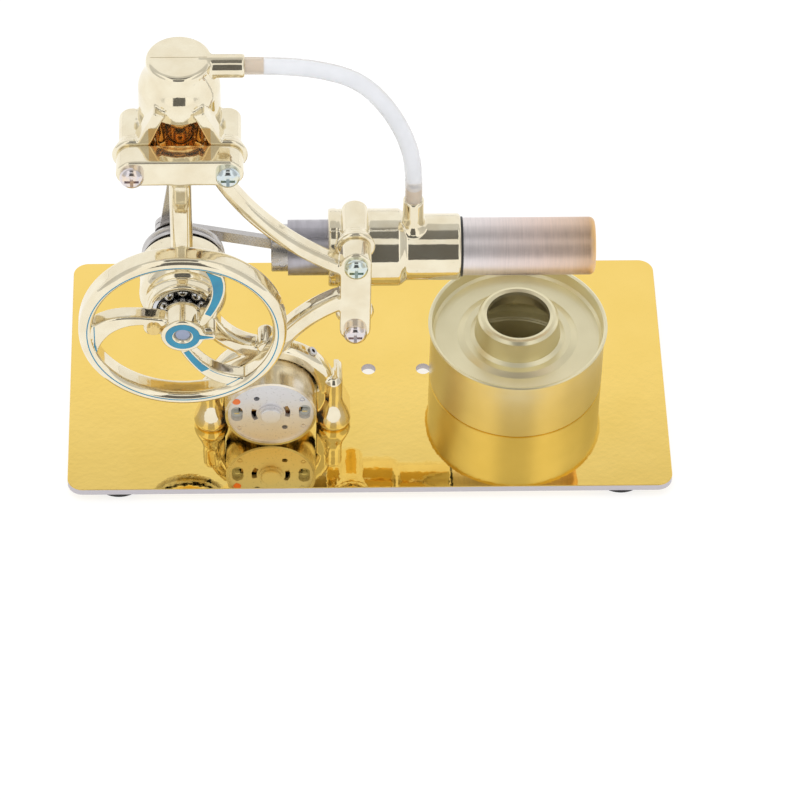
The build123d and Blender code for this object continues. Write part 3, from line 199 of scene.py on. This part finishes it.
def axes(nodes, links):
    """Node whose outputs X, Y and Z are the place on the object in metres."""
    split = nodes.new("ShaderNodeSeparateXYZ")
    links.new(position(nodes), split.inputs[0])
    return split


def share(nodes, links, axis):
    """Socket that runs from 0 to 1 along one axis of the piece's own box."""
    split = nodes.new("ShaderNodeSeparateXYZ")
    links.new(nodes.new("ShaderNodeTexCoord").outputs["Generated"], split.inputs[0])
    return split.outputs[axis]


def stretched(nodes, links, scale):
    """Position socket scaled along each axis, for grain that runs one way."""
    mapping = nodes.new("ShaderNodeMapping")
    mapping.inputs["Scale"].default_value = scale
    links.new(position(nodes), mapping.inputs["Vector"])
    return mapping.outputs["Vector"]


def noise(nodes, links, vector, scale, detail=3.0):
    """Noise factor socket."""
    texture = nodes.new("ShaderNodeTexNoise")
    texture.inputs["Scale"].default_value = scale
    texture.inputs["Detail"].default_value = detail
    links.new(vector, texture.inputs["Vector"])
    return texture.outputs["Fac"]


def ramp(nodes, links, factor, stops):
    """Colour ramp from (place, colour) stops; a number stands for a grey."""
    node = nodes.new("ShaderNodeValToRGB")
    elements = node.color_ramp.elements
    while len(elements) < len(stops):
        elements.new(0.5)
    for element, (place, colour) in zip(elements, stops):
        if isinstance(colour, (int, float)):
            colour = (colour, colour, colour)
        element.position = place
        element.color = (*colour, 1.0)
    links.new(factor, node.inputs["Fac"])
    return node.outputs["Color"]


def between(nodes, links, factor, low, high):
    """Colour or grey that runs from low to high over the middle of a noise's range."""
    return ramp(nodes, links, factor, [(LOW_STOP, low), (HIGH_STOP, high)])


def blend(nodes, links, factor, first, second, kind="MIX"):
    """Colour mix of two sockets or colours."""
    node = nodes.new("ShaderNodeMix")
    node.data_type = "RGBA"
    node.blend_type = kind
    for socket, value in ((node.inputs[0], factor), (node.inputs[6], first), (node.inputs[7], second)):
        if isinstance(value, bpy.types.NodeSocket):
            links.new(value, socket)
        elif isinstance(value, (int, float)):
            socket.default_value = value
        else:
            socket.default_value = (*value, 1.0)
    return node.outputs[2]


def maths(nodes, links, operation, *values):
    """Math node over sockets or numbers."""
    node = nodes.new("ShaderNodeMath")
    node.operation = operation
    for socket, value in zip(node.inputs, values):
        if isinstance(value, bpy.types.NodeSocket):
            links.new(value, socket)
        else:
            socket.default_value = value
    return node.outputs[0]


def bump(nodes, links, shader, height, strength, distance):
    """Surface relief from a height socket."""
    node = nodes.new("ShaderNodeBump")
    node.inputs["Strength"].default_value = strength
    node.inputs["Distance"].default_value = distance
    links.new(height, node.inputs["Height"])
    links.new(node.outputs["Normal"], shader.inputs["Normal"])


def metal(name, colour, rough, spread=0.04, scale=220.0, relief=0.05, grain=(1, 1, 1), shade=0.06):
    """Metal with uneven roughness, slight tint changes and a fine relief."""
    material, shader, nodes, links = new_material(name)
    shader.inputs["Metallic"].default_value = 1.0
    vector = stretched(nodes, links, grain)
    fine = noise(nodes, links, vector, scale)
    broad = noise(nodes, links, vector, scale * BROAD_SHARE)
    dark = tuple(c * (1.0 - shade) for c in colour)
    links.new(between(nodes, links, broad, dark, colour), shader.inputs["Base Color"])
    links.new(between(nodes, links, fine, rough, rough + spread), shader.inputs["Roughness"])
    bump(nodes, links, shader, fine, strength=relief, distance=SKIN_DEPTH)
    return material


def plastic(name, colour, rough, scale=400.0, relief=0.1, shade=0.1):
    """Moulded plastic or rubber."""
    material, shader, nodes, links = new_material(name)
    fine = noise(nodes, links, position(nodes), scale)
    dark = tuple(c * (1.0 - shade) for c in colour)
    links.new(between(nodes, links, fine, dark, colour), shader.inputs["Base Color"])
    links.new(between(nodes, links, fine, rough, rough + PLASTIC_SPREAD), shader.inputs["Roughness"])
    bump(nodes, links, shader, fine, strength=relief, distance=SKIN_DEPTH)
    return material


# ---------------------------------------------------------------- special materials

POWER_AXIS_X = -59.5 * MM
POWER_TOP_Z = DECK + 142.5 * MM
MOULD_LINE_Y = -0.95 * MM
MOULD_LINE_HALF = 0.1 * MM
MOULD_LINE_REACH = 8.6 * MM
TOP_SKIN = 0.5 * MM
# middle and half size of the box around the power cylinder's recess
RECESS_HALF_X = 9.5 * MM
RECESS_Z, RECESS_HALF_Z = DECK + 116.6 * MM, 9.4 * MM
RECESS_Y, RECESS_HALF_Y = -12.3 * MM, 3.2 * MM
# strength of the painted orange bounce light in the recess
PAINTED_BOUNCE_SHARE = 0.75
# how far a face of the plate points up, from 0 to 1: lacquered above the first, polished above the second
LACQUERED_FROM = 0.5
POLISHED_FROM = 0.95
CUT_METAL = (0.58, 0.55, 0.58)
CUT_ROUGHNESS = (0.5, 0.5, 0.5)
# painted bounce light: orange put in the power cylinder's recess in place of reflected gold light
PAINTED_BOUNCE_ORANGE = (0.82, 0.52, 0.17)
MOULD_SHADOW = (0.35, 0.27, 0.15)
FILM_SHARE = 0.55
SWELL_SHARE = 1.6
FINE_SHARE = 0.12
HEAT_MOTTLE = 0.12
CAP_MOTTLE = 0.1
LATHE_SCALE = 1400.0
LATHE_DETAIL = 2.0
# where each end of the hose covers a spigot
POWER_SPIGOT_END_X = -33.6 * MM
SLIDE_SPIGOT_END_Z = DECK + 86.6 * MM
OVER_SPIGOT = (0.84, 0.76, 0.66)


def plate_gold():
    """Mirror-gold plate: orange-peel lacquer on its faces and bare dull metal on its cut sides."""
    material, shader, nodes, links = new_material("mirror_gold")
    shader.inputs["Metallic"].default_value = 1.0
    place = position(nodes)
    peel = noise(nodes, links, place, scale=620.0, detail=1.5)
    swell = noise(nodes, links, place, scale=110.0, detail=1.0)
    haze = noise(nodes, links, place, scale=45.0, detail=4.0)
    gold = between(nodes, links, haze, (0.905, 0.645, 0.17), (0.94, 0.68, 0.195))
    facing = nodes.new("ShaderNodeSeparateXYZ")
    links.new(nodes.new("ShaderNodeNewGeometry").outputs["Normal"], facing.inputs[0])
    upright = maths(nodes, links, "ABSOLUTE", facing.outputs["Z"])
    is_face = maths(nodes, links, "GREATER_THAN", upright, LACQUERED_FROM)
    is_flat = maths(nodes, links, "GREATER_THAN", upright, POLISHED_FROM)
    tone = blend(nodes, links, is_face, CUT_METAL, gold)
    links.new(tone, shader.inputs["Base Color"])
    polish = ramp(nodes, links, peel, [(0.3, 0.012), (0.75, 0.05)])
    links.new(blend(nodes, links, is_flat, CUT_ROUGHNESS, polish), shader.inputs["Roughness"])
    relief = maths(nodes, links, "ADD", maths(nodes, links, "MULTIPLY", swell, SWELL_SHARE), peel)
    bump(nodes, links, shader, relief, strength=0.16, distance=PEEL_DEPTH)
    return material


def mould_line(nodes, links):
    """Mask of the hairline that crosses the flat top of the power cylinder. A shadow colour is painted there
    in place of the shade of the groove, which the remeshed skin smooths away.
    """
    place = axes(nodes, links).outputs
    on_line = maths(nodes, links, "COMPARE", place["Y"], MOULD_LINE_Y, MOULD_LINE_HALF)
    on_disc = maths(nodes, links, "COMPARE", place["X"], POWER_AXIS_X, MOULD_LINE_REACH)
    on_top = maths(nodes, links, "GREATER_THAN", place["Z"], POWER_TOP_Z - TOP_SKIN)
    return maths(nodes, links, "MULTIPLY", maths(nodes, links, "MULTIPLY", on_line, on_disc), on_top)


def painted_bounce_mask(nodes, links):
    """Mask of the recess of the power cylinder, where orange is painted in place of the gold light that
    bounces around inside it.
    """
    place = axes(nodes, links).outputs
    across = maths(nodes, links, "COMPARE", place["X"], POWER_AXIS_X, RECESS_HALF_X)
    upright = maths(nodes, links, "COMPARE", place["Z"], RECESS_Z, RECESS_HALF_Z)
    in_front = maths(nodes, links, "COMPARE", place["Y"], RECESS_Y, RECESS_HALF_Y)
    inside = maths(nodes, links, "MULTIPLY", maths(nodes, links, "MULTIPLY", across, upright), in_front)
    return maths(nodes, links, "MULTIPLY", inside, PAINTED_BOUNCE_SHARE)


def cast_gold():
    """Champagne plating on a polished casting, faintly wavy, with tiny pits and painted orange bounce light
    in one recess.
    """
    material, shader, nodes, links = new_material("plated_casting")
    shader.inputs["Metallic"].default_value = 0.94
    place = position(nodes)
    wave = noise(nodes, links, place, scale=160.0, detail=2.0)
    fine = noise(nodes, links, place, scale=900.0, detail=3.0)
    pits = noise(nodes, links, place, scale=520.0, detail=6.0)
    tone = between(nodes, links, wave, (0.80, 0.71, 0.52), (0.87, 0.80, 0.62))
    pit_mask = ramp(nodes, links, pits, [(0.70, 1.0), (0.78, 0.55)])
    pitted = blend(nodes, links, 1.0, tone, pit_mask, "MULTIPLY")
    # painted bounce light: the recess is tinted orange where gold light would reflect around inside it
    with_painted_bounce = blend(nodes, links, painted_bounce_mask(nodes, links), pitted, PAINTED_BOUNCE_ORANGE)
    # painted shade along the mould line
    lined = blend(nodes, links, mould_line(nodes, links), with_painted_bounce, MOULD_SHADOW)
    links.new(lined, shader.inputs["Base Color"])
    links.new(ramp(nodes, links, fine, [(0.3, 0.035), (0.8, 0.11)]), shader.inputs["Roughness"])
    relief = maths(nodes, links, "ADD", wave, maths(nodes, links, "MULTIPLY", fine, FINE_SHARE))
    bump(nodes, links, shader, relief, strength=0.3, distance=SKIN_DEPTH)
    return material


HEAT_COLOURS = [
    (0.10, (0.88, 0.83, 0.83)),
    (0.35, (0.85, 0.76, 0.74)),
    (0.62, (0.85, 0.69, 0.62)),
    (0.85, (0.80, 0.61, 0.49)),
    (0.96, (0.72, 0.50, 0.34)),
    (0.99, (0.86, 0.56, 0.26)),
]


def heat_tinted():
    """Satin steel cap whose colour runs from lavender grey to straw brown at its hot end."""
    material, shader, nodes, links = new_material("hot_steel")
    shader.inputs["Metallic"].default_value = 1.0
    along = share(nodes, links, "X")
    mottle = noise(nodes, links, position(nodes), scale=130.0, detail=4.0)
    lines = noise(nodes, links, stretched(nodes, links, (9.0, 0.5, 0.5)), scale=260.0, detail=3.0)
    drift = maths(nodes, links, "MULTIPLY_ADD", mottle, HEAT_MOTTLE, -HEAT_MOTTLE / 2)
    shifted = maths(nodes, links, "ADD", along, drift)
    tone = ramp(nodes, links, shifted, HEAT_COLOURS)
    streak = between(nodes, links, lines, 0.88, 1.0)
    links.new(blend(nodes, links, 1.0, tone, streak, "MULTIPLY"), shader.inputs["Base Color"])
    links.new(between(nodes, links, lines, 0.38, 0.48), shader.inputs["Roughness"])
    bump(nodes, links, shader, lines, strength=0.06, distance=GRAIN_DEPTH)
    return material


def iridescent_zinc(name, axis, first, second):
    """Passivated zinc with a faint film of colour, in another tint on each half along the axis."""
    material, shader, nodes, links = new_material(name)
    shader.inputs["Metallic"].default_value = 1.0
    cloud = noise(nodes, links, position(nodes), scale=330.0, detail=2.0)
    side = maths(nodes, links, "GREATER_THAN", share(nodes, links, axis), 0.5)
    tint = blend(nodes, links, side, first, second)
    film_stops = [(0.3, (0.80, 0.78, 0.76)), (0.5, (0.72, 0.76, 0.80)), (0.7, (0.86, 0.80, 0.66))]
    film = ramp(nodes, links, cloud, film_stops)
    links.new(blend(nodes, links, FILM_SHARE, film, tint, "MULTIPLY"), shader.inputs["Base Color"])
    links.new(between(nodes, links, cloud, 0.10, 0.20), shader.inputs["Roughness"])
    bump(nodes, links, shader, cloud, strength=0.15, distance=GRAIN_DEPTH)
    return material


def cap_zinc():
    """Matt plated end cap of the motor with handling marks. Its colour runs from a painted warm reflection of
    the gold plate at the bottom to a painted cool grey reflection of the studio at the top.
    """
    material, shader, nodes, links = new_material("motor_zinc")
    shader.inputs["Metallic"].default_value = 0.55
    place = position(nodes)
    height = share(nodes, links, "Z")
    cloud = noise(nodes, links, place, scale=240.0, detail=4.0)
    grit = noise(nodes, links, place, scale=1500.0, detail=2.0)
    drift = maths(nodes, links, "MULTIPLY_ADD", cloud, CAP_MOTTLE, -CAP_MOTTLE / 2)
    lifted = maths(nodes, links, "ADD", height, drift)
    # painted reflections: warm gold at the bottom, cool grey at the top
    painted_reflection_stops = [(0.05, (0.86, 0.72, 0.54)), (0.45, (0.78, 0.73, 0.67)), (0.75, (0.70, 0.71, 0.76))]
    tone = ramp(nodes, links, lifted, painted_reflection_stops)
    marks = ramp(nodes, links, grit, [(0.62, 1.0), (0.74, 0.75)])
    links.new(blend(nodes, links, 1.0, tone, marks, "MULTIPLY"), shader.inputs["Base Color"])
    links.new(between(nodes, links, cloud, 0.34, 0.44), shader.inputs["Roughness"])
    bump(nodes, links, shader, grit, strength=0.12, distance=GRAIN_DEPTH)
    return material


def worn_can():
    """Bright drawn steel can with brown worn patches and lengthwise scuffs."""
    material, shader, nodes, links = new_material("motor_can_steel")
    shader.inputs["Metallic"].default_value = 1.0
    patches = noise(nodes, links, position(nodes), scale=90.0, detail=5.0)
    scuffs = noise(nodes, links, stretched(nodes, links, (1.0, 0.15, 1.0)), scale=420.0, detail=3.0)
    wear_stops = [(0.34, (0.52, 0.44, 0.32)), (0.48, (0.80, 0.72, 0.58)), (0.7, (0.90, 0.85, 0.74))]
    links.new(ramp(nodes, links, patches, wear_stops), shader.inputs["Base Color"])
    links.new(between(nodes, links, scuffs, 0.14, 0.30), shader.inputs["Roughness"])
    bump(nodes, links, shader, scuffs, strength=0.1, distance=GRAIN_DEPTH)
    return material


def spun_tin():
    """Lacquered burner tin with fine lathe rings, centred on the burner's place at rest."""
    material, shader, nodes, links = new_material("burner_tin")
    shader.inputs["Metallic"].default_value = 0.9
    low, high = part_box("burner_can")
    middle = (Vector(low) + Vector(high)) / 2
    around = nodes.new("ShaderNodeVectorMath")
    around.operation = "SUBTRACT"
    links.new(nodes.new("ShaderNodeNewGeometry").outputs["Position"], around.inputs[0])
    around.inputs[1].default_value = (middle.x, middle.y, 0.0)
    flat = nodes.new("ShaderNodeVectorMath")
    flat.operation = "MULTIPLY"
    flat.inputs[1].default_value = (1.0, 1.0, 0.0)
    links.new(around.outputs["Vector"], flat.inputs[0])
    radius = nodes.new("ShaderNodeVectorMath")
    radius.operation = "LENGTH"
    links.new(flat.outputs["Vector"], radius.inputs[0])
    rings = nodes.new("ShaderNodeTexNoise")
    rings.noise_dimensions = "1D"
    rings.inputs["Scale"].default_value = LATHE_SCALE
    rings.inputs["Detail"].default_value = LATHE_DETAIL
    links.new(radius.outputs["Value"], rings.inputs["W"])
    cloud = noise(nodes, links, position(nodes), scale=60.0, detail=3.0)
    tone = between(nodes, links, cloud, (0.77, 0.70, 0.46), (0.85, 0.78, 0.53))
    links.new(tone, shader.inputs["Base Color"])
    links.new(between(nodes, links, rings.outputs["Fac"], 0.29, 0.36), shader.inputs["Roughness"])
    bump(nodes, links, shader, rings.outputs["Fac"], strength=0.035, distance=LATHE_DEPTH)
    return material


def milky_tube():
    """Milky silicone that lets some light through, warmer where it covers a spigot."""
    material, shader, nodes, links = new_material("silicone")
    cloud = noise(nodes, links, position(nodes), scale=120.0, detail=2.0)
    milk = between(nodes, links, cloud, (0.84, 0.85, 0.88), (0.90, 0.91, 0.94))
    place = axes(nodes, links).outputs
    over_power_spigot = maths(nodes, links, "LESS_THAN", place["X"], POWER_SPIGOT_END_X)
    over_slide_spigot = maths(nodes, links, "LESS_THAN", place["Z"], SLIDE_SPIGOT_END_Z)
    over_spigot = maths(nodes, links, "MAXIMUM", over_power_spigot, over_slide_spigot)
    links.new(blend(nodes, links, over_spigot, milk, OVER_SPIGOT), shader.inputs["Base Color"])
    links.new(between(nodes, links, cloud, 0.12, 0.2), shader.inputs["Roughness"])
    shader.inputs["Transmission Weight"].default_value = 0.5
    shader.inputs["IOR"].default_value = 1.22
    bump(nodes, links, shader, cloud, strength=0.03, distance=GRAIN_DEPTH)
    return material


def gloss_enamel():
    """Blue enamel with a glossy coat, a faint relief and uneven depth of colour."""
    material, shader, nodes, links = new_material("enamel")
    cloud = noise(nodes, links, position(nodes), scale=190.0, detail=3.0)
    blue = between(nodes, links, cloud, (0.008, 0.20, 0.34), (0.012, 0.27, 0.42))
    links.new(blue, shader.inputs["Base Color"])
    shader.inputs["Roughness"].default_value = 0.16
    shader.inputs["Coat Weight"].default_value = 0.25
    shader.inputs["Coat Roughness"].default_value = 0.06
    bump(nodes, links, shader, cloud, strength=0.2, distance=SKIN_DEPTH)
    return material


MATERIALS = {
    "mirror_gold": plate_gold(),
    "plated_casting": cast_gold(),
    "rubber": plastic("rubber", (0.02, 0.02, 0.02), rough=0.6),
    "zinc_screw": iridescent_zinc("zinc_screw", "X", (0.97, 0.78, 0.76), (0.80, 0.92, 0.90)),
    "bearing_steel": metal("bearing_steel", (0.66, 0.66, 0.67), rough=0.10, grain=(1, 6, 1), scale=500.0),
    "black_cage": plastic("black_cage", (0.012, 0.009, 0.009), rough=0.32),
    "turned_steel": metal(
        "turned_steel",
        (0.60, 0.58, 0.57),
        rough=0.22,
        spread=0.1,
        scale=700.0,
        relief=0.1,
    ),
    "tube_steel": metal(
        "tube_steel",
        (0.52, 0.50, 0.54),
        rough=0.28,
        spread=0.12,
        scale=300.0,
        grain=(6, 1, 1),
        relief=0.1,
        shade=0.25,
    ),
    "beige_nylon": plastic("beige_nylon", (0.80, 0.62, 0.40), rough=0.4),
    "hot_steel": heat_tinted(),
    "black_seal": plastic("black_seal", (0.02, 0.02, 0.02), rough=0.4),
    "silicone": milky_tube(),
    "enamel": gloss_enamel(),
    "motor_can_steel": worn_can(),
    "motor_zinc": cap_zinc(),
    "orange_mark": plastic("orange_mark", (0.85, 0.20, 0.05), rough=0.4),
    "terminal_tin": metal("terminal_tin", (0.85, 0.85, 0.83), rough=0.2),
    "grey_plastic": plastic("grey_plastic", (0.50, 0.50, 0.45), rough=0.5),
    "copper": metal("copper", (0.72, 0.3, 0.15), rough=0.3, grain=(1, 8, 1), scale=500.0),
    "laminated_steel": metal("laminated_steel", (0.35, 0.35, 0.36), rough=0.4, grain=(1, 12, 1), scale=600.0),
    "ferrite": plastic("ferrite", (0.04, 0.04, 0.045), rough=0.6),
    "bronze": metal("bronze", (0.55, 0.35, 0.15), rough=0.35, scale=900.0, relief=0.2),
    "brass": metal("brass", (0.78, 0.58, 0.24), rough=0.2, grain=(1, 6, 1), scale=500.0),
    "white_plastic": plastic("white_plastic", (0.85, 0.85, 0.83), rough=0.3),
    "burner_tin": spun_tin(),
}
SHAFT_FINISH = metal("shaft_steel", (0.34, 0.38, 0.50), rough=0.3, spread=0.1, scale=900.0, relief=0.1)
SLIDE_SCREW_FINISH = iridescent_zinc("zinc_screw_slide", "Z", (0.97, 0.80, 0.78), (0.82, 0.94, 0.82))


def finish_nodes():
    """Give every CAD node the material of its slot in the record."""
    for entry in frame["record"]["subparts"]:
        for material_slot in NODES[entry["node"]].material_slots:
            material_slot.link = "OBJECT"
            material_slot.material = MATERIALS[entry["material_slot"]]
    for material_slot in NODES["main_shaft"].material_slots:
        material_slot.material = SHAFT_FINISH
    for material_slot in NODES["displacer_bracket_screws"].material_slots:
        material_slot.material = SLIDE_SCREW_FINISH


finish_nodes()
hose.data.materials.append(MATERIALS["silicone"])


# ---------------------------------------------------------------- floor and light

FLOOR_SIZE = 8.0
FLOOR_GREY = (0.25, 0.25, 0.25, 1.0)
FLOOR_GLOW = 0.78
WHITE = (1.0, 1.0, 1.0)
TOP_BOX_PLACE = (-0.25, -0.2, 1.6)
TOP_BOX_SIZE = (0.7, 0.7)
TOP_BOX_POWER = 5.0


def make_floor():
    """Plain pale floor under the feet, with a glow of its own."""
    bpy.ops.mesh.primitive_plane_add(size=FLOOR_SIZE, location=(0, 0, cad_low.z))
    floor = bpy.context.object
    floor.name = "floor"
    material, shader, nodes, links = new_material("floor")
    shader.inputs["Base Color"].default_value = FLOOR_GREY
    shader.inputs["Roughness"].default_value = 0.95
    shader.inputs["Specular IOR Level"].default_value = 0.1
    shader.inputs["Emission Color"].default_value = (*WHITE, 1.0)
    shader.inputs["Emission Strength"].default_value = FLOOR_GLOW
    floor.data.materials.append(material)


def area_light(name, place, target, size, power):
    """Soft box that faces a target."""
    data = bpy.data.lights.new(name, "AREA")
    data.shape = "RECTANGLE"
    data.size, data.size_y = size
    data.energy = power
    light = bpy.data.objects.new(name, data)
    SCENE.collection.objects.link(light)
    light.location = place
    light.rotation_mode = "QUATERNION"
    light.rotation_quaternion = (Vector(target) - Vector(place)).to_track_quat("-Z", "Y")
    return light


# brightness around the studio, over the angle from the front horizon (0) up and over to the back (180)
ARC_TONES = [
    (0, 0.10),
    (52, 0.10),
    (54, 0.95),
    (69, 0.95),
    (71, 0.14),
    (100, 0.18),
    (107, 0.62),
    (130, 0.66),
    (133, 1.0),
    (180, 1.0),
]
# how much of the white side panels shows, over the sideways part of the direction
PANEL_SHARES = [(0.26, 0.0), (0.30, 1.0)]
PANEL_ARC = [(0.57, 1.0), (0.60, 0.0)]
SIDE_TONES = [(0.30, 1.15), (0.60, 1.1), (0.66, 0.72), (1.0, 0.6)]
# a reflection seen inside another one is never darker than this tone
INNER_TONE = (0.62, 0.62, 0.62)
INNER_DEPTH = 2.5


def make_world():
    """White studio with dark strips. Only reflections see the strips: the camera and soft light see white."""
    world = bpy.data.worlds.new("studio")
    SCENE.world = world
    world.use_nodes = True
    nodes, links = world.node_tree.nodes, world.node_tree.links
    nodes.clear()
    split = nodes.new("ShaderNodeSeparateXYZ")
    links.new(nodes.new("ShaderNodeTexCoord").outputs["Generated"], split.inputs[0])
    front = maths(nodes, links, "MULTIPLY", split.outputs["Y"], -1.0)
    arc = maths(nodes, links, "DIVIDE", maths(nodes, links, "ARCTAN2", split.outputs["Z"], front), math.pi)
    arc_tone = ramp(nodes, links, arc, [(angle / 180.0, tone) for angle, tone in ARC_TONES])
    sideways = maths(nodes, links, "ABSOLUTE", split.outputs["X"])
    panel = ramp(nodes, links, sideways, PANEL_SHARES)
    in_front = ramp(nodes, links, arc, PANEL_ARC)
    side_tone = ramp(nodes, links, sideways, SIDE_TONES)
    share_of_panel = blend(nodes, links, 1.0, panel, in_front, "MULTIPLY")
    seen = blend(nodes, links, share_of_panel, arc_tone, side_tone)
    path = nodes.new("ShaderNodeLightPath")
    inner = maths(nodes, links, "GREATER_THAN", path.outputs["Ray Depth"], INNER_DEPTH)
    lifted = blend(nodes, links, 1.0, seen, INNER_TONE, "LIGHTEN")
    seen = blend(nodes, links, inner, seen, lifted)
    direct = maths(nodes, links, "MAXIMUM", path.outputs["Is Camera Ray"], path.outputs["Is Diffuse Ray"])
    tone = blend(nodes, links, direct, seen, WHITE)
    background = nodes.new("ShaderNodeBackground")
    links.new(tone, background.inputs["Color"])
    background.inputs["Strength"].default_value = 1.0
    output = nodes.new("ShaderNodeOutputWorld")
    links.new(background.outputs["Background"], output.inputs["Surface"])


make_floor()
make_world()
top_box = area_light("top_box", TOP_BOX_PLACE, (0, 0, 0), TOP_BOX_SIZE, TOP_BOX_POWER)
top_box.visible_glossy = False
